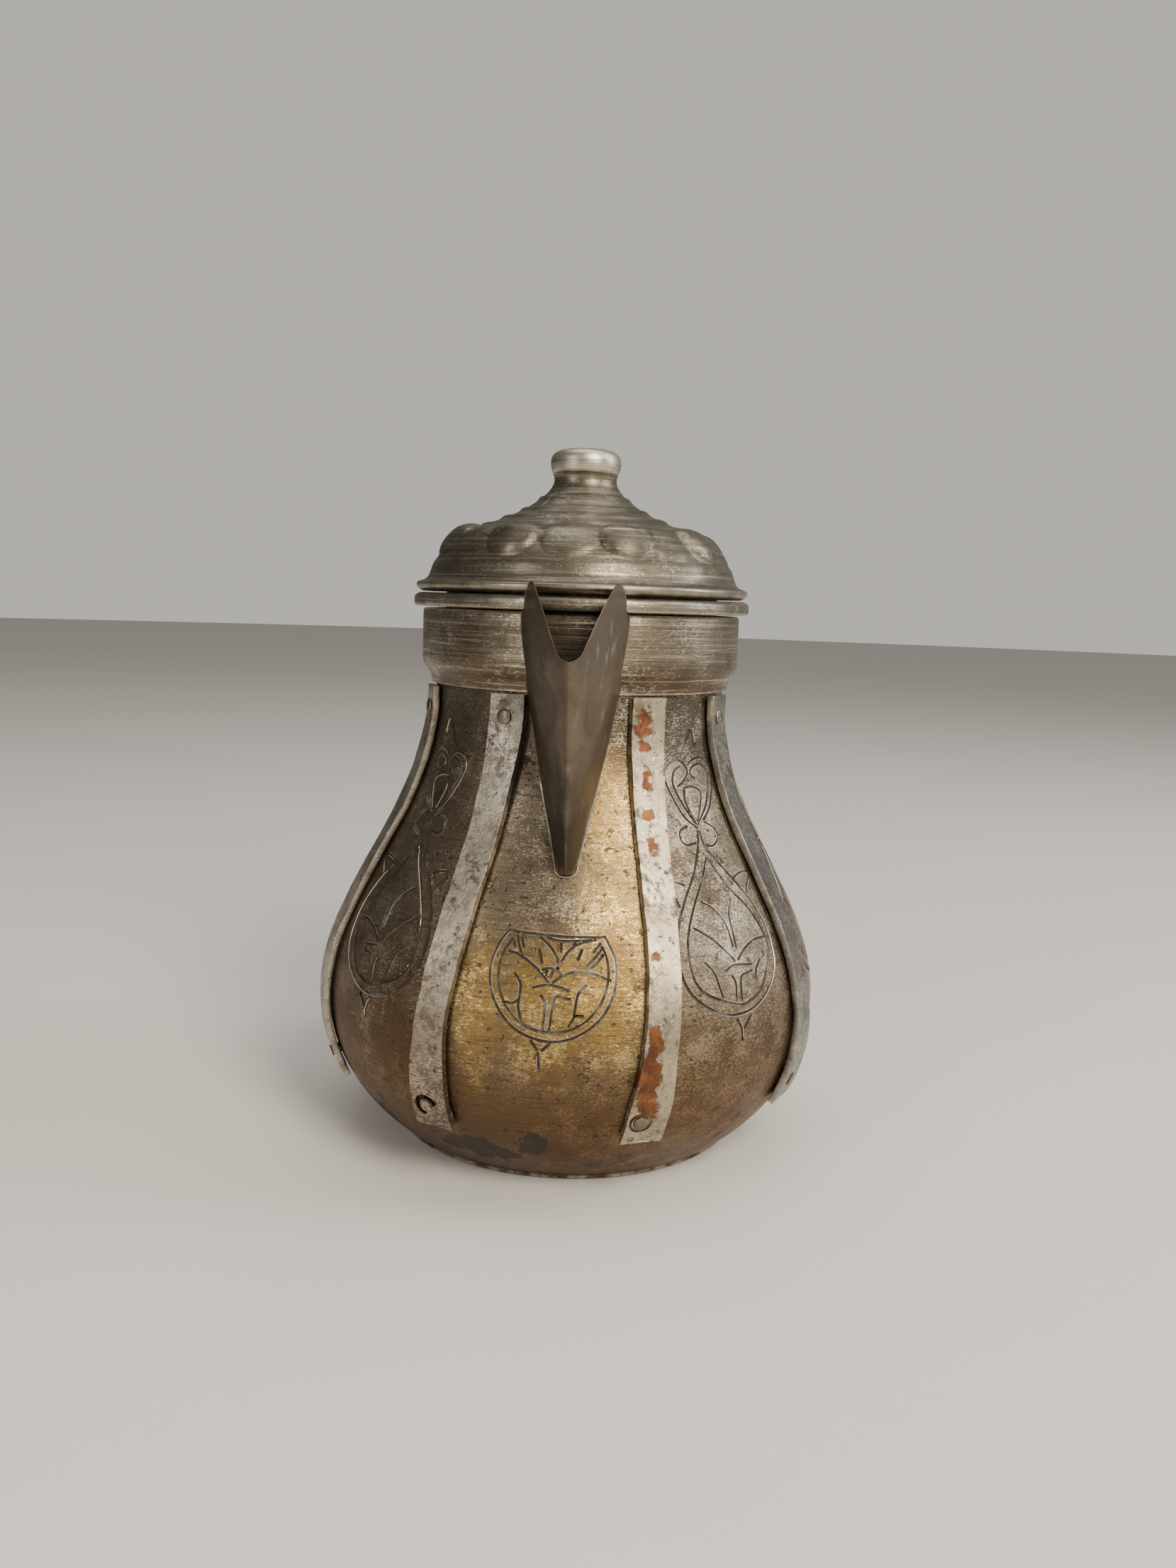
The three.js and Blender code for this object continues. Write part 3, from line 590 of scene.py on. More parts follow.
def aged_tin_body():
    tin = Finish("tinned body")
    across, _, height = tin.axes()
    clouds = tin.tarnish(26.0, 0.40, 0.62)
    tin.color = tin.mixed(clouds, TIN, BROWN)
    tin.lay(tin.ramp(height, 0.012, 0.085, 0.94, 0.0), LOW_BROWN)
    # painted shade: the upper body is laid darker towards the neck
    tin.lay(tin.ramp(height, 0.098, 0.135, 0.0, 0.75), NECK_PAINTED_SHADE)
    broken = tin.tarnish(700.0, 0.36, 0.62)
    # painted highlight: this golden mask is partly the brass tone and partly the key lamp's warm reflection, laid
    # as colour
    brass_and_highlight = tin.times(tin.spots(BRASS_AND_HIGHLIGHT_AREA, 90.0, 0.55), tin.plus(tin.times(broken, 0.5), 0.5))
    tin.lay(brass_and_highlight, BRASS_AND_WARM_HIGHLIGHT)
    relief, scratch, groove = tin.use(TURNING, Lines=1250.0, Drag=70.0)
    tin.lay(tin.times(groove, 0.5), SCRATCH_BROWN)
    # painted glints: the bright specks grow thicker towards +X, the side the key lamp lights
    speckle = tin.use(SPECKLE, Scale=2300.0, Amount=tin.ramp(across, -0.02, 0.045, 0.38, 0.62))[0]
    glint = tin.mixed(brass_and_highlight, tin.mixed(tin.ramp(height, 0.015, 0.080), FOOT_GLINT, BELLY_GLINT), GOLD)
    shine = tin.times(speckle, tin.plus(tin.times(scratch, 0.4), 0.6))
    tin.lay(shine, glint)
    # painted glints: coarse bright gold specks inside the golden patch
    glint_flake = tin.use(SPECKLE, Scale=1250.0, Amount=0.40)[0]
    glint_flake = tin.times(glint_flake, tin.math("POWER", brass_and_highlight, 0.6))
    tin.lay(tin.times(glint_flake, 0.65), GOLD_GLINT_FLAKE)
    grime = tin.times(tin.tarnish(95.0, 0.58, 0.68), tin.ramp(height, 0.0, 0.060, 0.9, 0.35))
    dark = tin.times(tin.most(tin.spots(BLOTCHES), grime), 0.88)
    tin.lay(dark, GRIME)
    foot = tin.times(tin.ramp(height, 0.0022, 0.0004, 0.0, 0.6), tin.tarnish(120.0, 0.42, 0.56))
    tin.lay(foot, WHITE_BLOOM)
    grain, pits = tin.use(GRAIN, Pitting=0.8)
    tin.lay(tin.times(pits, 0.8), SOOT)
    roughness = tin.plus(tin.times(clouds, 0.14), 0.36)
    roughness = tin.minus(roughness, tin.times(tin.most(shine, glint_flake), 0.13))
    roughness = tin.plus(roughness, tin.times(dark, 0.25))
    metallic = tin.minus(0.92, tin.times(dark, 0.5))
    return tin.dressed(roughness, metallic, tin.plus(grain, tin.times(relief, 0.8)), 0.34)


def engraved_line(name, floor, bloom_share, roughness):
    cut = Finish(name)
    bloom = cut.tarnish(110.0, 0.48, 0.62)
    cut.color = cut.mixed(cut.times(bloom, bloom_share), floor, WHITE_BLOOM)
    return cut.dressed(roughness, 0.75, cut.use(GRAIN, Pitting=0.3)[0], 0.08)


def turned_tin(name, dull, bright, scratched, lines, grime=0.5, low_brown=False, wear=0.6, speck=0.45):
    """Tin with fine turning lines, for the collar, rim, lid and knob."""
    tin = Finish(name)
    clouds = tin.tarnish(48.0, 0.38, 0.64)
    tin.color = tin.mixed(clouds, bright, dull)
    if low_brown:
        tin.lay(tin.ramp(tin.axes()[2], 0.1380, 0.1455, 0.8, 0.0), (0.105, 0.070, 0.042, 1))
    relief, scratch, groove = tin.use(TURNING, Lines=lines, Drag=24.0)
    tin.lay(tin.times(groove, scratched), TURNED_BROWN)
    speckle = tin.use(SPECKLE, Amount=speck)[0]
    shine = tin.plus(tin.times(scratch, scratched), tin.times(speckle, 0.45), True)
    tin.lay(shine, BRIGHT_TIN)
    dark = tin.times(tin.tarnish(130.0, 0.60, 0.70), grime)
    tin.lay(dark, SOOT)
    tin.worn_edge(wear, BRIGHT_TIN)
    roughness = tin.minus(tin.plus(tin.times(clouds, 0.14), 0.33), tin.times(shine, 0.10))
    metallic = tin.minus(0.95, tin.times(dark, 0.5))
    grain = tin.use(GRAIN, Pitting=0.5)[0]
    return tin.dressed(roughness, metallic, tin.plus(tin.times(grain, 0.5), tin.times(relief, 1.4)), 0.18)


def rib_tin(name, face, shade, copper_spots, copper, specks, low=0.0, high=0.0):
    """The flat of a rib: worn tin with copper showing through."""
    tin = Finish(name)
    height = tin.axes()[2]
    clouds = tin.tarnish(70.0, 0.42, 0.66)
    tin.color = tin.mixed(clouds, face, shade)
    tin.lay(tin.ramp(height, 0.028, 0.070, low, 0.0), (0.125, 0.085, 0.058, 1))
    # painted shade: the rib's upper part is laid a darker grey, as strong as the high argument (0.7 on the front
    # left rib)
    tin.lay(tin.ramp(height, 0.080, 0.125, 0.0, high), (0.165, 0.160, 0.145, 1))
    tin.lay(tin.times(tin.use(SPECKLE, Amount=0.55)[0], 0.55), BRIGHT_TIN)
    patch = tin.plus(tin.times(tin.tarnish(44.0, 0.40, 0.60), 0.75), 0.2)
    worn = tin.times(tin.times(tin.tarnish(300.0, 0.47, 0.60), patch), specks)
    tin.lay(worn, (0.085, 0.066, 0.047, 1))
    bare = tin.times(tin.tarnish(88.0, 0.63, 0.655), copper)
    if copper_spots:
        halo = tin.spots([(*at, (w * 1.2, h * 1.12), ragged) for *at, (w, h), ragged in copper_spots])
        tin.lay(tin.times(halo, 0.6), (0.10, 0.072, 0.048, 1))
        bare = tin.most(bare, tin.spots(copper_spots))
    rust = tin.tarnish(240.0, 0.38, 0.62)
    tin.lay(bare, tin.mixed(rust, COPPER, RED_BROWN))
    dots = tin.times(tin.tarnish(420.0, 0.60, 0.64), specks)
    tin.lay(dots, SOOT)
    tin.worn_edge(0.6, BRIGHT_TIN)
    roughness = tin.plus(tin.plus(tin.times(clouds, 0.15), 0.30), tin.times(tin.most(bare, worn), 0.16))
    relief = tin.minus(tin.use(GRAIN, Pitting=0.7)[0], tin.times(worn, 0.3))
    return tin.dressed(roughness, tin.minus(0.95, tin.times(dots, 0.5)), relief, 0.16)


def dark_copper(name, face, worn, strip=None, bloom=0.45, bloom_and_lit_side=None):
    """Brown patinated copper, rubbed back to bare copper on its edges."""
    metal = Finish(name)
    clouds = metal.tarnish(42.0, 0.38, 0.66)
    metal.color = metal.mixed(clouds, face, (0.060, 0.050, 0.042, 1))
    metal.lay(metal.times(metal.tarnish(75.0, 0.60, 0.72), 0.5), worn)
    if strip:
        metal.lay(metal.times(metal.spots(strip), 0.75), COPPER)
    upright = metal.vector("MULTIPLY", metal.place, (1, 1, 0.3))[0]
    streak = metal.use(TARNISH, Place=upright, Scale=260.0, Start=0.56, End=0.68)[0]
    streak = metal.times(streak, bloom)
    # painted light: past this side the beak's facet is laid lighter, as if lit by the key lamp, and its pale
    # streaks are made stronger there
    if bloom_and_lit_side is not None:
        across = metal.axes()[0]
        streak = metal.times(streak, metal.ramp(across, bloom_and_lit_side - 0.004, bloom_and_lit_side + 0.004, 0.2, 1.0))
        metal.lay(metal.ramp(across, -0.001, 0.008, 0.0, 0.35), (0.27, 0.225, 0.165, 1))
    metal.lay(streak, PALE_STREAK)
    metal.worn_edge(0.85, worn)
    roughness = metal.plus(metal.times(clouds, 0.14), 0.36)
    return metal.dressed(roughness, 0.9, metal.use(GRAIN, Pitting=0.6)[0], 0.12)


BODY_TIN = aged_tin_body()
# dark floor of the engraved cuts: oxide in the groove and painted shade
GROOVE_OXIDE_AND_SHADE = engraved_line("engraved line", (0.044, 0.035, 0.025, 1), 0.22, 0.62)
# painted highlight: bright colour laid on the wide shallow cut along the engraved lines
ENGRAVED_EDGE_HIGHLIGHT = engraved_line("engraved edge highlight", (0.52, 0.44, 0.32, 1), 0.5, 0.40)
COLLAR_TIN = turned_tin("collar tin", (0.090, 0.072, 0.050, 1), (0.215, 0.180, 0.130, 1),
                        0.55, 1250.0, low_brown=True)
RIM_TIN = turned_tin("rim tin", (0.105, 0.090, 0.068, 1), (0.25, 0.225, 0.178, 1), 0.35, 1200.0, 0.7)
LID_TIN = turned_tin("lid tin", (0.100, 0.085, 0.062, 1), (0.205, 0.180, 0.135, 1),
                     0.50, 1150.0, 0.45, speck=0.32)
KNOB_TIN = turned_tin("knob tin", (0.30, 0.265, 0.21, 1), (0.60, 0.55, 0.46, 1), 0.40, 1300.0, 0.3)
BEAD_TIN = turned_tin("solder bead", (0.13, 0.108, 0.078, 1), (0.24, 0.205, 0.155, 1), 0.2, 300.0, 0.8, wear=0.3)
INNER_TIN = turned_tin("inside tin", (0.085, 0.070, 0.052, 1), (0.17, 0.148, 0.115, 1), 0.2, 900.0, 0.8)
# the beak's last argument paints its right facet lighter, as if lit by the key lamp
BEAK_COPPER = dark_copper("beak patina", (0.150, 0.114, 0.076, 1), (0.25, 0.160, 0.095, 1),
                          [(0, 98, 70, (2.4, 9), 0.5)], 0.75, 0.004)
BEAK_EDGE = dark_copper("beak edge", (0.34, 0.185, 0.098, 1), (0.50, 0.30, 0.17, 1))
HANDLE_COPPER = dark_copper("handle patina", (0.145, 0.110, 0.078, 1), (0.34, 0.205, 0.125, 1))
HINGE_COPPER = dark_copper("hinge patina", (0.19, 0.155, 0.115, 1), (0.36, 0.25, 0.155, 1))
RIVET_COPPER = dark_copper("rivet patina", (0.27, 0.235, 0.18, 1), (0.46, 0.37, 0.27, 1))
RIB_EDGE = dark_copper("rib edge", (0.26, 0.180, 0.098, 1), (0.46, 0.325, 0.175, 1))


def clad(piece, *materials):
    """Gives the piece its materials in slot order."""
    for i, material in enumerate(materials):
        if i < len(piece.data.materials):
            piece.data.materials[i] = material
        else:
            piece.data.materials.append(material)
    return piece


# ------------------------------------------------------------------ engravings

MEDALLION = [  # on the panel under the beak: (across, along) from its centre
    [(-9.6, 10.9), (-11.9, 11.6), (-14.4, 8.2), (-16.4, 2.6), (-16.3, -3.6), (-13.6, -9.5), (-8.8, -14.1),
     (-2.4, -16.4), (4, -16.1), (10.2, -13), (14.4, -8.3), (16.5, -2), (16.2, 4.2), (14.2, 8.6), (13, 10.8)],
    [(-11, 9.3), (-13.2, 5.8), (-14.3, 1.2), (-13.8, -4), (-11.6, -8.5), (-7.4, -12.4), (-1.6, -14.3),
     (4.6, -13.6), (9.6, -10.6), (13, -6.2), (14.4, -1), (14, 4.2), (12.4, 8.2)],
    [(-12.1, 11.6), (-7, 11.1), (-2.5, 10.9), (3, 10.6), (13.2, 10.6)], [(-2, 10.2), (2.2, 9.4), (10.5, 9.9)],
    [(-2.9, -4.8), (-1.6, -6.7), (-1.7, -9.7), (-1.9, -14)],
    [(4.9, -5.6), (2.8, -5.2), (1.4, -4.8), (0.5, -6.2), (0.1, -9.7), (-0.3, -13.9)],
    [(-5, -3.1), (-3.2, -2.4), (-0.5, -2.1), (2, -2.5), (4.5, -3.4)],
    [(-12, 6), (-8.8, 5.2), (-5.9, 3.3), (-3.2, 1.1), (-0.9, -1.7)],
    [(0.1, -1.5), (2, -0.1), (4.9, 1.4), (8.7, 1.4), (11.7, 0.7), (15.2, -0.8)],
    [(-3, 1.4), (-1.8, 2.1), (0.6, 2), (2.2, 0.6)], [(-2, 0.4), (-1.4, 1.7)], [(-0.6, 0.1), (0, 1.6)],
    [(-3.8, 10.2), (-2.1, 8.7), (-0.5, 7.1), (1.4, 3.8)], [(10.4, 9.9), (7.1, 9.1), (4.9, 7.9), (3.1, 6),
     (1.2, 2.2)],
    [(1.8, 9), (1.8, 6.5)], [(7.2, 7.3), (6.2, 4.6)], [(-4, 7.1), (-3, 3.4)], [(5.4, 9.6), (5, 8.3)],
    [(-10, 0.3), (-8.4, -1.9), (-8.3, -4.3), (-8.6, -8.4), (-7.5, -12)], [(-12.8, -7.3), (-9.9, -7.2),
     (-8.6, -6.4)],
    [(8.9, -1.9), (7, -3.8), (6.4, -6.5), (6, -9.8)], [(6.4, -9.8), (8.5, -9.9)], [(4.6, -12.6), (6.1, -10)],
    [(-10, 10.2), (-9.4, 7.6), (-8.6, 5.6)], [(-11, 9.2), (-10.4, 7.2)], [(-8.8, 9.8), (-8, 7.2)],
    [(12.8, 6), (11.4, 3.8), (9, 1.9)], [(12.4, 7.6), (11, 5.4), (8.6, 3)], [(12, 9), (10.2, 6.6)],
    [(-5, -16.6), (-3.2, -19)], [(0.2, -16.9), (-2, -19.2)], [(-2.9, -19.6), (-2.6, -24.6)],
]

TREE_OF_LEAVES = [  # on every other panel: (across, along), measured up from the motif's level
    [(-0.1, 42.4), (-1.9, 37.5), (-6.4, 30.4), (-12, 23.5), (-16.5, 16.6), (-19.2, 9.2), (-19.6, 2.8),
     (-17.2, -2.6), (-11.3, -7.1), (-4.7, -9.1), (3.2, -8.4), (10.4, -4.8), (14.8, -0.2), (16.3, 4.3),
     (16.2, 11.9), (12.8, 20.1), (5.6, 30.3), (1, 37.2), (0.6, 42.2)],
    [(0, 34.5), (-3.9, 28.9), (-10.2, 20.9), (-14.7, 13.5), (-16.5, 6.6), (-15.8, 0.7), (-12.7, -2.6),
     (-7.9, -4.9), (-1.9, -6.8), (2.6, -6), (6.9, -4.1), (11.6, 1.6), (14.4, 8), (11, 17.3), (4.9, 25.2),
     (0.6, 34)],
    [(0.3, 43), (-3.4, 46.5), (-6.1, 52.9), (-7.5, 57.9), (-6.5, 60.9), (-3.2, 62.6), (0, 61.8), (1.2, 59.2),
     (-1.2, 56.6), (-3.4, 55.4)],
    [(0.1, 44.4), (-3, 50.2), (-5, 55.9), (-3.8, 59.8), (-1.2, 61)],
    [(0.8, 44.2), (6.2, 49.4), (9.1, 54.8), (9.6, 58.8), (7, 61), (3.4, 60.4), (2.4, 58.5), (3.9, 57.2)],
    [(3.5, 45.2), (8.2, 49.2), (11.4, 55.7), (11.3, 60.1), (8.2, 62.7), (3.8, 62.4), (2, 61)],
    [(-3.5, 44), (-6.2, 43), (-7, 40.5), (-5.5, 38.5), (-2.2, 39)], [(3.7, 44.6), (7.1, 42.3),
     (7.6, 39.6), (4.3, 37.5), (1.4, 38)],
    [(-1.3, 54.3), (-1.8, 51.4), (-0.2, 44.8)], [(-1, 54.9), (1.9, 55.1), (5.2, 53.6), (4.8, 51), (1.2, 45)],
    [(-0.9, 64), (3, 69), (5, 71), (5.8, 66.3)], [(-3.7, 1.4), (-2.6, -0.5), (-3.4, -5.6)],
    [(4.6, 1.5), (0.4, 1), (-0.8, -0.9), (-1.4, -5.8)], [(-5.5, 2.8), (-2.1, 4.1), (4.9, 3.2)],
    [(-1.2, 5), (-4.2, 8.6), (-7.6, 12.1), (-12.2, 15.6)], [(0, 5.2), (3.8, 7.9), (9, 9.5), (13.8, 9.3)],
    [(0.5, 8.2), (0.8, 12.7), (1.5, 18.2), (4.3, 22.1)], [(-0.6, 9), (-0.9, 15.4), (-3.6, 20.1),
     (-7.2, 22.5)],
    [(-11.7, 6), (-9.5, 2.8), (-8.5, -2), (-8, -4)], [(9.1, 3.9), (6.3, 1.5), (5.8, -0.9)],
    [(-16.2, 28.8), (-12.9, 28.5), (-10.6, 27.4)], [(-16.3, 27.4), (-14.9, 24.3), (-14.4, 21.4)],
    [(8.4, 27.4), (12.2, 28.4), (17.3, 28.2)], [(17, 27), (13.4, 24.2), (12.2, 22.4)],
    [(-4, -10.3), (-2.3, -13), (-2.1, -16.6)], [(1.6, -10.1), (-1.3, -13.4)],
]

BURR = (0.82, 0.70)    # radius of the wide shallow cut, and how far its middle stands off the body
GROOVE = (0.28, 0.04)  # the same for the deep cut inside it


def stroke(points, radius, stand):
    """One cut of the graver, laid on the body at the azimuth of the beak."""
    line = flowing(points, 1.3)
    curve = bpy.data.curves.new("stroke", "CURVE")
    curve.dimensions = "3D"
    curve.bevel_depth = radius * MM
    curve.bevel_resolution = 1
    curve.use_fill_caps = True
    spline = curve.splines.new("POLY")
    spline.points.add(len(line) - 1)
    for i, (u, v) in enumerate(line):
        height = float(np.interp(v, BODY_S, BODY_Z))
        r, n = body_at(height)
        a = u / r
        out = r + stand * n[0]
        spline.points[i].co = (out * math.sin(a) * MM, -out * math.cos(a) * MM, (height + stand * n[1]) * MM, 1)
        end = min(i, len(line) - 1 - i)
        spline.points[i].radius = (0.9, 0.97, 1.0)[min(end, 2)]
    piece = bpy.data.objects.new("stroke", curve)
    bpy.context.scene.collection.objects.link(piece)
    take(piece)
    bpy.ops.object.convert(target="MESH")
    return tidy_mesh(piece)


def graver(name, strokes, size, finish, level=0.0):
    """All the cuts of one motif as one solid tool."""
    tool, *cuts = [stroke([(u, v + level) for u, v in points], *size) for points in strokes]
    for cut in cuts:
        combine(tool, cut, "UNION")
    tool.name = name
    return clad(tool, finish)


def engrave(body, strokes, azimuths, mirrored=(), level=0.0):
    """Cuts a motif into the body at each azimuth, mirrored at the others."""
    for size, finish in ((BURR, ENGRAVED_EDGE_HIGHLIGHT), (GROOVE, GROOVE_OXIDE_AND_SHADE)):
        tool = graver("graver", strokes, size, finish, level)
        for azimuth in azimuths:
            combine(body, spun(copied(tool, "cut"), azimuth))
        for azimuth in mirrored:
            combine(body, spun(moved(copied(tool, "cut"), Matrix.Scale(-1, 4, (1, 0, 0))), azimuth))
        bpy.data.objects.remove(tool)


# ------------------------------------------------------------------ body


def make_body():
    outside = [(FOOT_RADIUS - 0.5, 0.0), (FOOT_RADIUS - 0.1, 0.35)] + foot_curve(34) + shoulder_curve(62)[1:]
    outside += [(NECK_RADIUS, z) for z in np.linspace(NECK_HEIGHT + 4, MOUTH_HEIGHT, 8)]
    inside = [(FOOT_RADIUS - WALL, 0.0), (FOOT_RADIUS - WALL, 1.8)] + shifted(foot_curve(18), -WALL)
    inside += shifted(shoulder_curve(30), -WALL)[1:] + [(NECK_RADIUS - WALL, MOUTH_HEIGHT)]
    body = clad(turned("body", outside + inside[::-1], 240, closed=True), BODY_TIN)
    engrave(body, MEDALLION, (MEDALLION_AZIMUTH,), level=float(np.interp(MEDALLION_HEIGHT, BODY_Z, BODY_S)))
    engrave(body, TREE_OF_LEAVES, LEAF_AZIMUTHS, MIRRORED_LEAF_AZIMUTHS)
    hole = turned("strainer hole", [(0, -5), (1.7, -5), (1.7, 5), (0, 5)], 16)
    for row, count in enumerate((1, 2, 3, 4)):
        height = STRAINER_HEIGHT + STRAINER_PITCH * row
        r, n = body_at(height)
        for i in range(count):
            aside = (i - (count - 1) / 2) * STRAINER_PITCH * 0.82
            combine(body, stood(copied(hole, "hole"), (r, height), n, 0, aside))
    bpy.data.objects.remove(hole)
    dented(body, 26, 0.30)
    dented(body, 9, 0.10)
    return finished(body, "pot", "aged_tin", "body_shell", angle=40)


def make_base():
    base = turned("base_plate", [(0, 0.5), (14, 0.5), (15, 0.25), (30, 0.25), (31, 0.05), (47, 0.0),
                                 (50.2, 0.0), (50.6, 0.2),
                                 (50.7, 0.8), (50.7, 4.6), (50.5, 4.9), (50.0, 5.0), (49.6, 4.8),
                                 (49.5, 2.2), (48.9, 1.6),
                                 (47, 1.5), (31, 1.55), (30, 1.75), (15, 1.75), (14, 2.0), (0, 2.0)], 144)
    dented(base, 12, 0.12)
    return finished(clad(base, INNER_TIN), "pot", "aged_tin", "base_plate")


def make_collar():
    inner = NECK_RADIUS + SEAM
    shoulder = bezier((44.6, COLLAR_BOTTOM), (44.8, 138.8), (47.3, 138.8), (COLLAR_RADIUS, 142), 14)
    outside = [(44.2, COLLAR_BOTTOM)] + shoulder + [(COLLAR_RADIUS, z) for z in (144, 147, 150, 153)]
    outside += [(COLLAR_RADIUS - 0.05, 155.6), (COLLAR_RADIUS - 0.25, 156.2), (COLLAR_RADIUS - 0.7, 156.6)]
    collar = turned("collar", outside + [(inner, 156.7), (inner, 146),
                                         (inner, COLLAR_BOTTOM)], 200, closed=True)
    dented(collar, 18, 0.22)
    return finished(clad(collar, COLLAR_TIN), "pot", "worn_tin", "collar")


def make_rim():
    inner = NECK_RADIUS - WALL
    rim = turned("rim_ring", [
        (inner + 0.2, RIM_BOTTOM), (49.2, RIM_BOTTOM), (49.8, 157.25), (50.05, 157.7),
        (RIM_RADIUS, 158.2), (RIM_RADIUS, 159.5),
        (50.0, 159.9), (49.75, 160.25), (49.3, 160.6), (48.9, 160.85), (48.4, 160.98), (47.6, RIM_TOP),
        (inner + 0.4, RIM_TOP),
        (inner, 160.7), (inner, 157.3)], 200, closed=True)
    dented(rim, 8, 0.07)
    return finished(clad(rim, RIM_TIN), "pot", "worn_tin", "rim_ring")


# ------------------------------------------------------------------ lid

LID_LINE = [(45.2, 168.3), (44.7, 169.7), (43.9, 170.9), (42.1, 173.4), (39.9, 175.9), (37.3, 178.3),
            (34.2, 179.9),
            (30.4, 181.1), (24.5, 183.4), (18.9, 185.9), (14.9, 188.4), (11.8, 190.9), (9.95, 193.2),
            (9.35, 194.9), (9.5, 196.2), (9.8, LID_TOP)]
BOSSES = (-70, -27, 19, 58, 102, 146, 191, 242)  # azimuths of the big bosses


def stepped(line):
    """Adds the low turned steps of the hollow cone."""
    raised = []
    for r, z in line:
        lift = sum(0.6 * math.exp(-((r - at) / 0.7) ** 2) for at in (30.2, 24.2, 18.6, 13.4))
        raised.append((r, z + lift))
    return raised


def make_lid():
    brim = [(46.2, LID_BASE), (47.4, LID_BASE), (48.5, 161.7), (49.2, 162.3), (49.55, 163.0),
            (49.58, 163.5), (49.4, 164.0),
            (48.9, 164.35), (48.2, 164.55), (47.4, 164.8), (46.6, 165.3), (46.0, 166.1), (45.6, 167.1)]
    dome = stepped(flowing(LID_LINE, 0.6))
    hollow = shifted(flowing(LID_LINE, 2.2)[1:-1], -LID_WALL)
    shank = 3.3
    lid = turned("lid_dome", brim + dome + [(shank, LID_TOP), (shank, LID_TOP - LID_WALL)] + hollow[::-1]
                 + [(45.6, 163.2), (46.2, 162.6)], 300, closed=True)
    for i, azimuth in enumerate(BOSSES):
        between = (BOSSES[(i + 1) % len(BOSSES)] - azimuth) % 360 / 2
        for turn, r, z, height, size in ((0, 38.8, 177.0, 2.3, 7.6), (between, 37.6, 177.8, 0.8, 8.6)):
            b = math.radians(azimuth + turn)
            push = (0.66 * math.sin(b) * height, -0.66 * math.cos(b) * height, 0.75 * height)
            mound(lid, (r * math.sin(b), -r * math.cos(b), z), push, size)
    dented(lid, 14, 0.18)
    return finished(clad(lid, LID_TIN), "lid", "lid_tin", "lid_dome", angle=50)


def make_sleeve():
    inner = SLEEVE_RADIUS - 1.2
    sleeve = turned("lid_sleeve", [
        (inner, 154.2), (inner + 0.3, 154), (SLEEVE_RADIUS - 0.3, 154), (SLEEVE_RADIUS, 154.3),
        (SLEEVE_RADIUS, LID_BASE),
        (45.6, LID_BASE), (45.6, 162.4), (inner, 162.4)], 180, closed=True)
    dented(sleeve, 10, 0.08)
    return finished(clad(sleeve, INNER_TIN), "lid", "lid_tin", "lid_sleeve")


def make_knob():
    head = [(3, 197.2), (5, 197.05), (9.7, 197.0), (9.95, 197.3), (10.2, 198.1), (10.4, 199.0),
            (10.5, 199.9), (10.5, 200.6),
            (10.35, 201.5), (9.95, 202.4), (9.2, 203.15), (8.1, 203.7), (6.4, 204.15), (4.2, 204.4),
            (2, 204.48), (0, 204.5)]
    shank = [(0, 193.1), (3, 193.2), (4.2, 193.6), (4.4, 194.1), (3, 194.1)]
    knob = turned("knob", shank + head, 96)
    dented(knob, 6, 0.08)
    return finished(clad(knob, KNOB_TIN), "lid", "lid_tin", "knob")


def make_washer():
    washer = turned("knob_washer", [
        (3.3, 194.4), (6.0, 194.4), (6.2, 194.6), (6.2, 195.2), (6.0, 195.4), (3.3, 195.4)], 48, closed=True)
    return finished(clad(washer, RIVET_COPPER), "lid", "rivet_copper", "knob_washer")


# ------------------------------------------------------------------ ribs and rivets


def make_rib_blank():
    """A strip that follows the body at the beak's azimuth, wider at both ends."""
    line = [(-r, z) for r, z in along_body(RIB_BOTTOM, RIB_TOP, SEAM, 76)]
    blank = band("rib", line, RIB_WAIST_WIDTH, 8)
    for height, wider, reach in ((RIB_TOP, 1.16, 42), (RIB_BOTTOM, 1.27, 40)):
        r, _ = body_at(height)
        pick(blank, lambda places: np.abs(places[:, 2] - height) < 0.8)
        bpy.ops.transform.resize(value=(wider, 1, 1), center_override=(0, -r * MM, height * MM),
                                 use_proportional_edit=True, proportional_edit_falloff="SMOOTH",
                                 proportional_size=reach * MM)
    edit(blank)
    all_of_it()
    bpy.ops.mesh.normals_make_consistent(inside=False)
    fresh()
    if blank.data.polygons[0].normal.y > 0:
        blank.data.flip_normals()
    return blank


def rib_azimuth(name, height):
    top, bottom = RIBS[name]
    return top + (bottom - top) * (RIB_TOP - height) / (RIB_TOP - RIB_BOTTOM)


FRONT_COPPER = [(25.8, 127, 45, (3.2, 3.6), 0.9), (25.4, 121, 46, (1.8, 1.6), 1.1),
                (24.8, 112, 49, (1.3, 3.0), 1.1),
                (24.2, 103, 53, (1.5, 1.2), 1.2), (23.4, 96, 57, (2.1, 2.7), 1.0),
                (20.4, 69, 71, (1.1, 0.9), 1.2),
                (19.2, 48, 77, (1.7, 3.6), 1.0), (18.6, 42, 77, (2.3, 4.6), 0.9),
                (18.2, 36, 77, (3.1, 4.8), 0.9),
                (17.8, 30, 75, (2.7, 3.6), 1.0)]
RIB_FACES = {
    "front_right": rib_tin("bright rib", (0.60, 0.51, 0.37, 1), (0.36, 0.295, 0.20, 1),
                           FRONT_COPPER, 0.15, 0.9, 0.4),
    "front_left": rib_tin("rubbed rib", (0.52, 0.455, 0.355, 1), (0.29, 0.248, 0.185, 1),
                          [], 0.1, 0.9, 0.95, 0.7),
    "side_right": rib_tin("blue grey rib", (0.215, 0.205, 0.19, 1), (0.105, 0.092, 0.078, 1), [], 0.3, 0.7),
    "": rib_tin("worn rib", (0.30, 0.265, 0.21, 1), (0.135, 0.112, 0.084, 1), [], 0.5, 0.8),
}


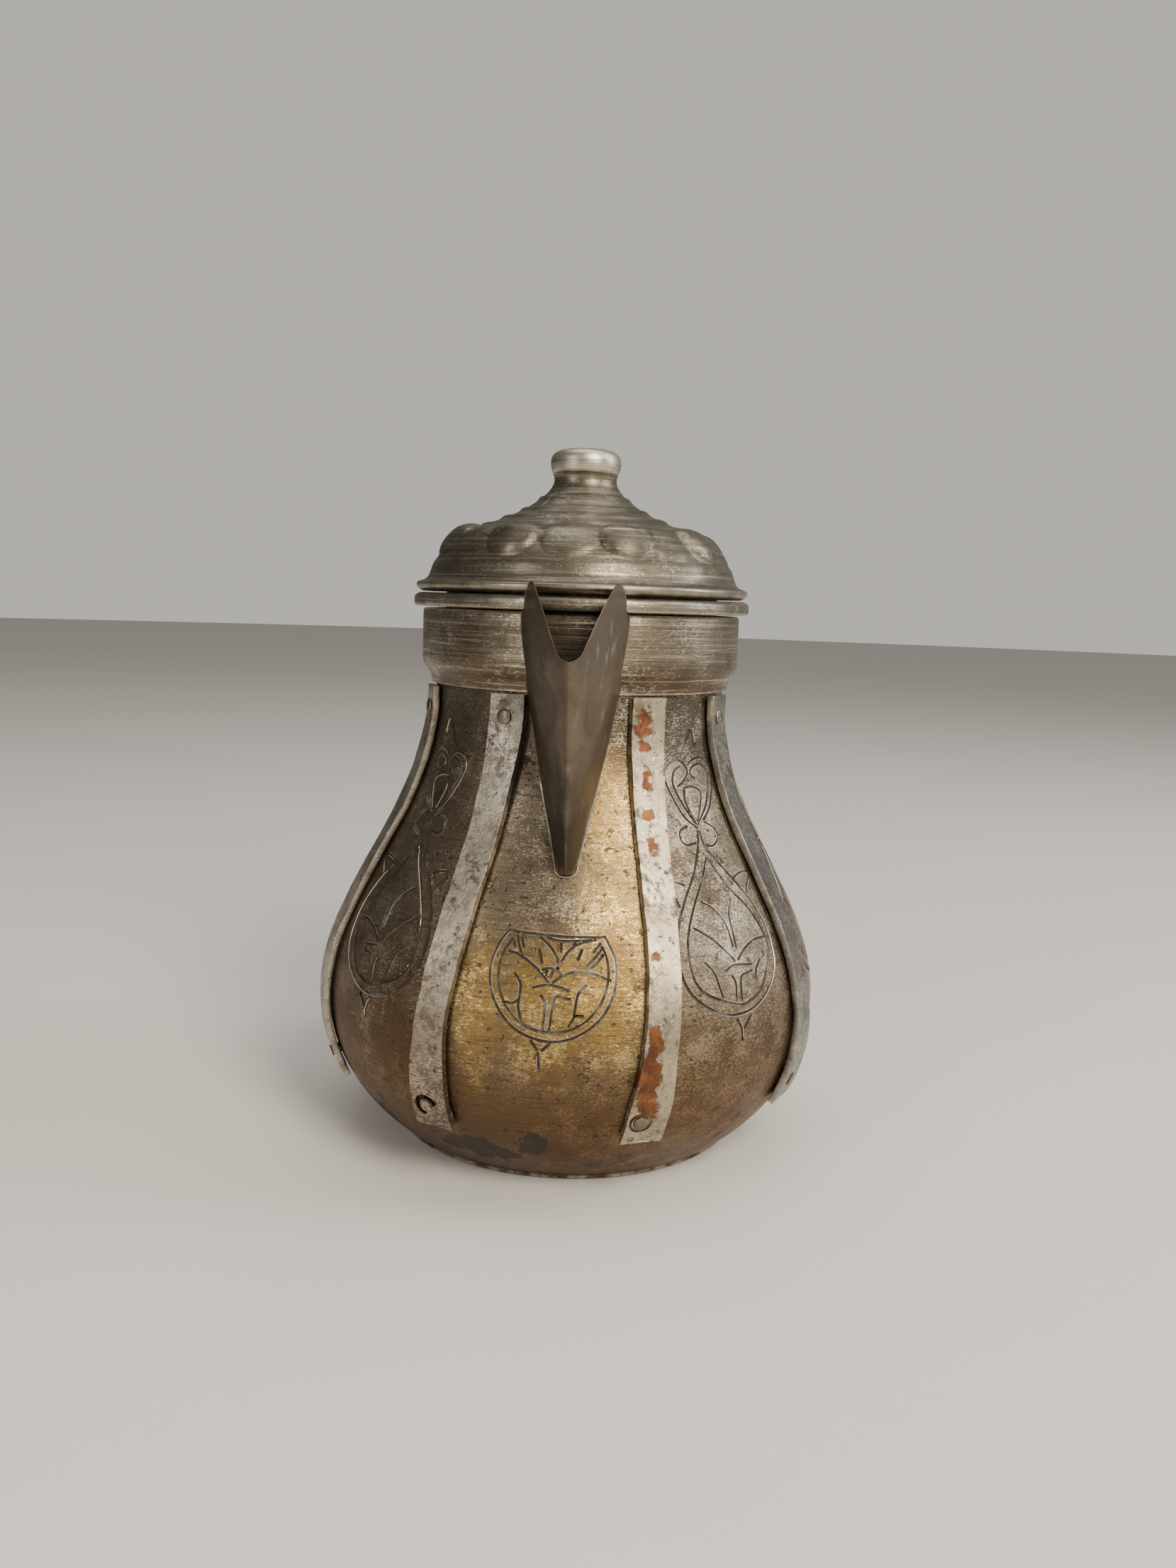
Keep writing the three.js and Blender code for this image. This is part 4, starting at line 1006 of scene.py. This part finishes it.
def make_ribs():
    blank = make_rib_blank()
    for name, (top, bottom) in RIBS.items():
        rib = copied(blank, "rib_" + name)
        modifier(rib, "SOLIDIFY", thickness=RIB_THICKNESS * MM, offset=1.0, use_even_offset=True,
                 material_offset_rim=1)
        clad(rib, RIB_FACES.get(name, RIB_FACES[""]), RIB_EDGE)
        spun(rib, bottom)
        modifier(rib, "SIMPLE_DEFORM", deform_method="TWIST", deform_axis="Z", angle=math.radians(top - bottom))
        for end in ("top", "bottom"):
            if (name, end) == ("front_left", "bottom"):
                tear_rib(rib, name)
            if (name, end) == ("front_right", "bottom"):
                ring = turned("ring cut", [(2.5, -0.5), (3.15, -0.5), (3.15, 3), (2.5, 3)], 32, closed=True)
                clad(ring, RIB_EDGE)
                combine(rib, on_rib(ring, name, RIB_BOTTOM + RIB_RIVET_INSET, RIB_THICKNESS + 0.05))
        rounded(rib, 0.32, 50)
        dented(rib, 15, 0.9, "X", 0.5)
        if 45 < top % 180 < 135:
            dented(rib, 13, 0.9, "Y", 0.5)
        dented(rib, 7, 0.16)
        finished(rib, "pot", "worn_tin", "rib_" + name, angle=40)
    bpy.data.objects.remove(blank)


def on_rib(piece, name, height, lift, aside=0):
    return stood(piece, off_body(height, SEAM + lift), body_at(height)[1], rib_azimuth(name, height), aside)


def tear_rib(rib, name):
    """The crescent torn out of the rib's foot beside its rivet."""
    tear = turned("tear", [(2.2, -4), (3.6, -4), (3.6, 4), (2.2, 4)], 32, closed=True)
    side = turned("tear side", [(0, -5), (7, -5), (7, 5), (0, 5)], 4)
    moved(side, Matrix.Translation((0.0035, -0.0055, 0)))
    combine(tear, side)
    combine(rib, on_rib(clad(tear, RIB_EDGE), name, RIB_BOTTOM + RIB_RIVET_INSET, RIB_THICKNESS))


def rivet_blank(name, head, height, flat):
    """A hammered rivet along +Z: its head above zero and its shank and inner head below."""
    profile = [(0, -4.9), (1.7, -4.8), (2.4, -4.4), (2.5, -4.0), (1.6, -4.0), (1.6, 0), (head - 0.15, 0),
               (head, 0.2)]
    for t in np.linspace(0.2, 1.45, 8):
        profile.append((head * math.cos(t) ** flat, 0.2 + (height - 0.2) * math.sin(t)))
    rivet = turned(name, profile + [(0, height)], 28)
    return clad(rivet, RIVET_COPPER)


def make_rivets():
    """Every rivet has its head on its stack and its inner head inside the wall."""
    kinds = {"dome": rivet_blank("dome rivet", 2.3, 1.0, 0.75), "low": rivet_blank("low rivet", 2.2, 0.5, 0.55),
             "flush": rivet_blank("flush rivet", 1.9, 0.22, 0.4)}
    looks = {("front_right", "top"): "flush", ("front_right", "bottom"): "low", ("front_left", "bottom"): "flush"}
    ends = {"top": RIB_TOP - RIB_RIVET_INSET, "bottom": RIB_BOTTOM + RIB_RIVET_INSET}
    for turn, (name, end) in enumerate((name, end) for name in RIBS for end in ends):
        kind = looks.get((name, end), "dome" if end == "top" else "low")
        node = f"rib_rivet_{end}_{name}"
        rivet = moved(copied(kinds[kind], node), Matrix.Rotation(0.7 * turn, 4, "Z"))
        on_rib(rivet, name, ends[end], RIB_THICKNESS)
        if kind == "flush":
            clad(rivet, RIB_FACES[name])
        hammered(rivet, "pot", node, RIVET_DENT)

    low, high = PALM_LOWER[0] + PALM_RIVET_INSET, PALM_UPPER[0] + PALM_RIVET_INSET
    stack = SEAM + PALM_THICKNESS
    for name, height in (("upper_high", high + PALM_RIVET_PITCH), ("upper_low", high),
                         ("lower_high", low + PALM_RIVET_PITCH), ("lower_low", low)):
        node = "handle_rivet_" + name
        rivet = copied(kinds["dome"], node)
        stood(rivet, off_body(height, stack), body_at(height)[1], 180)
        hammered(rivet, "pot", node, RIVET_DENT)

    r, z, nr, nz = LEAF_SPOT
    spots = (("hinge_lid_rivet_", "lid", (r + 2.0 * nr, z + 2.0 * nz), (nr, nz)),
             ("hinge_body_rivet_", "pot", (COLLAR_RADIUS + SEAM + LEAF_THICKNESS, 148), (1, 0)))
    for hand, aside in (("right", -3.5), ("left", 3.5)):
        for name, body, foot, normal in spots:
            rivet = copied(kinds["dome"], name + hand)
            stood(rivet, foot, normal, 180, aside)
            hammered(rivet, body, name + hand, 0.2)
    for blank in kinds.values():
        bpy.data.objects.remove(blank)


def hammered(rivet, body, node, depth):
    dented(rivet, 2.2, depth)
    return finished(rivet, body, "rivet_copper", node)


# ------------------------------------------------------------------ beak

WIDTH_POINTS = [(BEAK_FOOT, 2.4), (97, 4.4), (107, 6.9), (118, 9.4), (134.9, 12.6), (152.75, BEAK_HALF_WIDTH),
                (BEAK_HORN + 1, BEAK_HORN_HALF_WIDTH)]
WIDTH_LINE = np.array(flowing(WIDTH_POINTS, 0.5))


def beak_width(height):
    return float(np.interp(height, WIDTH_LINE[:, 0], WIDTH_LINE[:, 1]))


def crease_at(height):
    """How far the fold of the beak stands from the axis."""
    foot, bend, lip = (body_at(BEAK_FOOT)[0] + 1.4, BEAK_FOOT), (72, 111.5), (BEAK_REACH, BEAK_LIP)
    t = np.linspace(0, 1, 60)
    r = (1 - t) ** 2 * foot[0] + 2 * t * (1 - t) * bend[0] + t * t * lip[0]
    z = (1 - t) ** 2 * foot[1] + 2 * t * (1 - t) * bend[1] + t * t * lip[1]
    return float(np.interp(height, z, r))


def beak_root(height, inset):
    return min(body_at(min(height, MOUTH_HEIGHT))[0], crease_at(height) - inset - 0.2)


def beak_loft(name, low, high, rows, narrower, inset):
    """A sheet folded along its middle, closed behind by a flat back inside the body."""
    half, root = max(0.4, beak_width(low) - narrower), beak_root(low, inset)
    fold = crease_at(low) - inset
    section = []
    for s in np.linspace(-1, 1, 33):  # straight sides that meet in a rounded fold
        fall = ((s * s + 0.010) ** 0.66 - 0.010 ** 0.66) / (1.010 ** 0.66 - 0.010 ** 0.66)
        section.append((s * half, -(root + (fold - root) * (1 - fall)), low))
    loft = chain(name, section)
    all_of_it()
    for i in range(1, rows + 1):
        height = low + (high - low) * i / rows
        new_half, new_root = max(0.4, beak_width(height) - narrower), beak_root(height, inset)
        new_fold = crease_at(height) - inset
        bpy.ops.mesh.extrude_region_move(
            TRANSFORM_OT_translate={"value": (0, (root - new_root) * MM, (high - low) / rows * MM)})
        bpy.ops.transform.resize(value=(new_half / half, (new_fold - new_root) / (fold - root), 1),
                                 center_override=(0, -new_root * MM, height * MM))
        half, root, fold = new_half, new_root, new_fold
    all_of_it()
    bpy.ops.mesh.region_to_loop()
    bpy.ops.mesh.extrude_region_move(TRANSFORM_OT_translate={"value": (0, 0, 0)})
    bpy.ops.transform.resize(value=(1, 0, 1), center_override=(0, -BEAK_BACK * MM, 0))
    bpy.ops.mesh.remove_doubles(threshold=WELD)
    bpy.ops.mesh.edge_face_add()
    return tidy_mesh(loft)


def mouth_tool():
    """The notch of the mouth, a rounded V cut straight back."""
    side = flowing([(0, 0), (0.18, 0.07), (0.32, 0.30), (0.42, 0.49), (0.54, 0.70), (0.65, 0.88),
                    (0.705, 0.97), (0.765, 1),
                    (0.83, 0.97), (0.88, 0.88), (0.925, 0.72), (1.0, 0.5), (1.1, 0.3)], 0.03)
    across = [(-x, z) for x, z in side[:0:-1]] + side
    outline = [(x * BEAK_HORN_HALF_WIDTH, BEAK_LIP + (BEAK_HORN - BEAK_LIP) * z) for x, z in across]
    outline += [(28, BEAK_HORN), (28, BEAK_HORN + 20), (-28, BEAK_HORN + 20), (-28, BEAK_HORN)]
    return slab("mouth tool", [(x, -88, z) for x, z in outline], (0, 0.088, 0))


def make_beak():
    beak = beak_loft("beak", BEAK_FOOT, BEAK_HORN + 1, 74, 0, 0)
    for side in (-1, 1):
        mound(beak, (side * 8.6, -62, 133), (-side * 0.45, 0.5, 0), 8.5, "SPHERE")
        mound(beak, (side * 4.2, -66, 118), (-side * 0.25, 0.35, 0), 8, "SMOOTH")
    mound(beak, (4.6, -67, 121), (-0.25, 0.35, 0), 1.6, "SMOOTH")
    inside = beak_loft("beak inside", BEAK_FOOT + 9, BEAK_HORN + 6, 60, BEAK_WALL, 1.25 * BEAK_WALL)
    combine(beak, inside)
    combine(clad(beak, BEAK_COPPER), clad(mouth_tool(), BEAK_EDGE))
    stand = along_body(1.7, COLLAR_BOTTOM - 0.3, SEAM, 70)
    stand += [(r + SEAM, z) for r, z in bezier((44.6, 134.8), (44.8, 138.8), (47.3, 138.8), (47.5, 142), 12)]
    stand += [(47.8, 156.7), (49.1, 156.7), (50.4, 157.7), (50.4, BEAK_HORN + 2), (0, BEAK_HORN + 2)]
    combine(beak, turned("stand", [(0, 0), (FOOT_RADIUS, 0)] + stand, 240))
    edit(beak)
    all_of_it()
    bpy.ops.mesh.remove_doubles(threshold=2e-5)
    done(beak)
    rounded(beak, 0.28, 48)
    dented(beak, 12, 0.25)
    return finished(beak, "pot", "dark_copper", "beak", angle=38)


def make_beak_bead():
    """The run of solder that holds the beak's foot to the body."""
    side = []
    for height in np.linspace(113, BEAK_FOOT + 0.5, 20):
        side.append((beak_width(height) + 0.15, float(np.interp(height, BODY_Z, BODY_S))))
    low = float(np.interp(BEAK_FOOT - 0.5, BODY_Z, BODY_S))
    line = side + [(1.3, low)] + [(-1.3, low)] + [(-u, v) for u, v in side[::-1]]
    bead = stroke(line, 0.45, 0.0)
    dented(bead, 3, 0.45, "NORMAL", 0.7)
    return finished(clad(bead, BEAD_TIN), "pot", "worn_tin")


# ------------------------------------------------------------------ handle

HANDLE_PATH = [(45.4, 122.5), (47.6, 129), (51.8, 135.6), (58.5, 141.6), (69, 146.5), (85, 148.5),
               (98, 136.5), (103, 118.5),
               (99.5, 97.5), (90, 78.5), (79.4, 64), (75.0, 53)]


def make_handle():
    bar = band("handle", flowing(HANDLE_PATH, 2.0), HANDLE_WIDTH, 2)
    take(bar)
    thick = bar.vertex_groups.new(name="thick")
    high_end, low_end = (Vector((0, *end)) * MM for end in (HANDLE_PATH[0], HANDLE_PATH[-1]))
    for vertex in bar.data.vertices:
        middle = Vector((0, vertex.co.y, vertex.co.z))
        near = min((middle - low_end).length, (middle - high_end).length) / (26 * MM)
        thick.add([vertex.index], min(1, 0.42 + 0.58 * near), "REPLACE")
    modifier(bar, "SOLIDIFY", thickness=HANDLE_THICKNESS * MM, offset=0.0, vertex_group="thick",
             thickness_vertex_group=0.02, use_even_offset=True)
    rounded(bar, 1.3, 50, 4)
    for low, high in (PALM_UPPER, PALM_LOWER):
        palm = band("palm", along_body(low, high, SEAM, 24), PALM_WIDTH, 4)
        if palm.data.polygons[0].normal.y < 0:
            palm.data.flip_normals()
        modifier(palm, "SOLIDIFY", thickness=PALM_THICKNESS * MM, offset=1.0, use_even_offset=True)
        rounded(palm, 0.6, 50, 3)
        combine(bar, palm, "UNION")
    room = [(0, 0), (FOOT_RADIUS, 0)] + along_body(1.7, MOUTH_HEIGHT, SEAM, 60) + [(0, MOUTH_HEIGHT)]
    combine(bar, turned("body room", room, 200))
    dented(bar, 14, 0.35)
    return finished(clad(bar, HANDLE_COPPER), "pot", "dark_copper", "handle", angle=45)


# ------------------------------------------------------------------ hinge


def lid_surface(height):
    """Point and outward normal of the lid's shoulder."""
    line = flowing(LID_LINE, 0.5)
    z = [p[1] for p in line]
    r = [p[0] for p in line]
    at = float(np.interp(height, z, r))
    slope = float(np.interp(height + 0.5, z, r) - np.interp(height - 0.5, z, r))
    length = math.hypot(1, slope)
    return at, height, 1 / length, -slope / length


LEAF_LOW = 168.9
LEAF_HIGH = 174.5
LEAF_SPOT = lid_surface(172.3)


def along_x(piece, y, z):
    return moved(piece, Matrix.Translation((0, y * MM, z * MM)) @ Matrix.Rotation(math.pi / 2, 4, "Y"))


def barrel(name, radius, width):
    return along_x(turned(name, [(0, -width / 2), (radius, -width / 2), (radius, width / 2), (0, width / 2)], 40),
                   PIN_REACH, PIN_HEIGHT)


def leaf_finish(leaf, body, node):
    combine(leaf, barrel("pin bore", 1.8, 30))
    rounded(leaf, 0.22, 40)
    dented(leaf, 6, 0.12)
    return finished(clad(leaf, HINGE_COPPER), body, "rivet_copper", node, angle=40)


def make_hinge():
    face, past = COLLAR_RADIUS + SEAM, RIM_RADIUS + 0.6
    leaf = plate("hinge_leaf_body", [
        (face, 142), (face + 1.5, 142), (face + 1.5, 154), (past + 1.5, 156.5), (past + 1.5, PIN_HEIGHT),
        (past, PIN_HEIGHT), (past, 156.8), (face, 154.6)], HINGE_SPAN)
    combine(leaf, barrel("knuckles", KNUCKLE_RADIUS, HINGE_SPAN - 0.002), "UNION")
    slot = [(past - 2, 160.4), (PIN_REACH + 5.1, 160.4), (PIN_REACH + 5.1, 170.1), (past - 2, 170.1)]
    combine(leaf, plate("slot", slot, KNUCKLE_MIDDLE + 0.6))
    leaf_finish(leaf, "pot", "hinge_leaf_body")

    inner, outer = [], []
    for height in np.linspace(LEAF_LOW, LEAF_HIGH, 6):
        r, z, nr, nz = lid_surface(height)
        for line, lift in ((inner, 0.5), (outer, 0.5 + LEAF_THICKNESS)):
            line.append((r + lift * nr, z + lift * nz))
    bridge = PIN_HEIGHT + KNUCKLE_RADIUS
    under = bridge - LEAF_THICKNESS
    outline = [(PIN_REACH, under), (PIN_REACH, bridge), (outer[0][0] + 1.2, bridge)] + outer
    leaf = plate("hinge_leaf_lid", outline + inner[::-1] + [(46.6, under)], HINGE_SPAN)
    room = barrel("knuckle room", KNUCKLE_RADIUS + 0.3, HINGE_SPAN + 2)
    combine(room, barrel("kept", KNUCKLE_RADIUS + 1, KNUCKLE_MIDDLE))
    combine(leaf, room)
    combine(leaf, barrel("middle knuckle", KNUCKLE_RADIUS - 0.01, KNUCKLE_MIDDLE), "UNION")
    leaf_finish(leaf, "lid", "hinge_leaf_lid")

    end = HINGE_SPAN / 2 + 0.3
    pin = turned("hinge_pin", [
        (0, -end - 1), (1.7, -end - 0.95), (2.2, -end - 0.7), (2.4, -end - 0.3), (2.35, -end), (1.5, -end),
        (1.5, end), (2.35, end), (2.4, end + 0.3), (2.2, end + 0.7), (1.7, end + 0.95), (0, end + 1)], 32)
    along_x(pin, PIN_REACH, PIN_HEIGHT)
    return finished(clad(pin, RIVET_COPPER), "pot", "rivet_copper", "hinge_pin")


make_body()
make_base()
make_collar()
make_rim()
make_lid()
make_sleeve()
make_knob()
make_washer()
make_ribs()
make_rivets()
make_beak()
make_beak_bead()
make_handle()
make_hinge()

# ------------------------------------------------------------------ floor, light and camera


def make_floor():
    fresh()
    bpy.ops.mesh.primitive_circle_add(vertices=96, radius=6, fill_type="NGON", location=(0, 0, -0.0002))
    floor = done(bpy.context.object)
    floor.name = "floor"
    pale = Finish("pale floor", specular=0.3)
    pale.color = pale.mixed(pale.tarnish(3.0, 0.2, 0.9), (0.66, 0.635, 0.60, 1), (0.63, 0.605, 0.57, 1))
    clad(floor, pale.dressed(0.6, 0.0))


def softbox(name, place, size, power, color=(1, 1, 1)):
    lamp = bpy.data.lights.new(name, "AREA")
    lamp.shape = "RECTANGLE"
    lamp.size, lamp.size_y = size
    lamp.energy = power
    lamp.color = color
    holder = bpy.data.objects.new(name, lamp)
    bpy.context.scene.collection.objects.link(holder)
    holder.location = place
    holder.rotation_euler = (Vector((0, 0, 0.1)) - Vector(place)).to_track_quat("-Z", "Y").to_euler()


def make_light():
    """A pale studio, dimmer on the left as seen by the metal, with a warm key at the front right."""
    world = bpy.data.worlds.new("studio")
    world.use_nodes = True
    air = Net(world.node_tree)
    air.place = air.add("TexCoord")["Generated"]
    reflected = air.ramp(air.axes()[0], -0.7, 0.9, 0.16, 0.50)
    ray = air.add("LightPath")
    plain = air.choice(ray["Is Camera Ray"], 0.55, 0.80)
    surface = air.tree.nodes["Background"].inputs
    surface["Color"].default_value = (0.72, 0.685, 0.63, 1)
    air.feed(air.choice(ray["Is Glossy Ray"], plain, reflected), surface["Strength"])
    bpy.context.scene.world = world
    softbox("key", (0.54, -0.86, 0.85), (0.45, 0.65), 19, (1, 0.92, 0.78))
    softbox("left front", (-0.80, -0.86, 0.52), (0.16, 0.70), 4, (1, 0.96, 0.90))
    softbox("right window", (1.15, 0.05, 0.75), (0.5, 0.9), 9, (0.96, 0.98, 1))
    softbox("overhead", (0.05, 0.30, 1.50), (1.3, 1.0), 8, (1, 0.98, 0.94))


def make_camera():
    yaw, pitch, roll, around = (math.radians(a) for a in (0.54, 8.21, 1.86, 2.0))
    forward = Vector((math.sin(yaw) * math.cos(pitch), math.cos(yaw) * math.cos(pitch), -math.sin(pitch)))
    right = Vector((math.cos(yaw), -math.sin(yaw), 0))
    up = right.cross(forward)
    side = math.cos(roll) * right + math.sin(roll) * up
    above = -math.sin(roll) * right + math.cos(roll) * up
    lens = bpy.data.cameras.new("camera")
    lens.lens = 29.12
    lens.sensor_width = 36
    lens.clip_start = 0.01
    camera = bpy.data.objects.new("camera", lens)
    bpy.context.scene.collection.objects.link(camera)
    turn = Matrix.Rotation(around, 4, "Z")
    aim = Matrix((side, above, -forward)).transposed().to_4x4()
    camera.matrix_world = turn @ Matrix.Translation(Vector((0, -386.8, 159.9)) * MM) @ aim
    bpy.context.scene.camera = camera


make_floor()
make_light()
make_camera()
fresh()
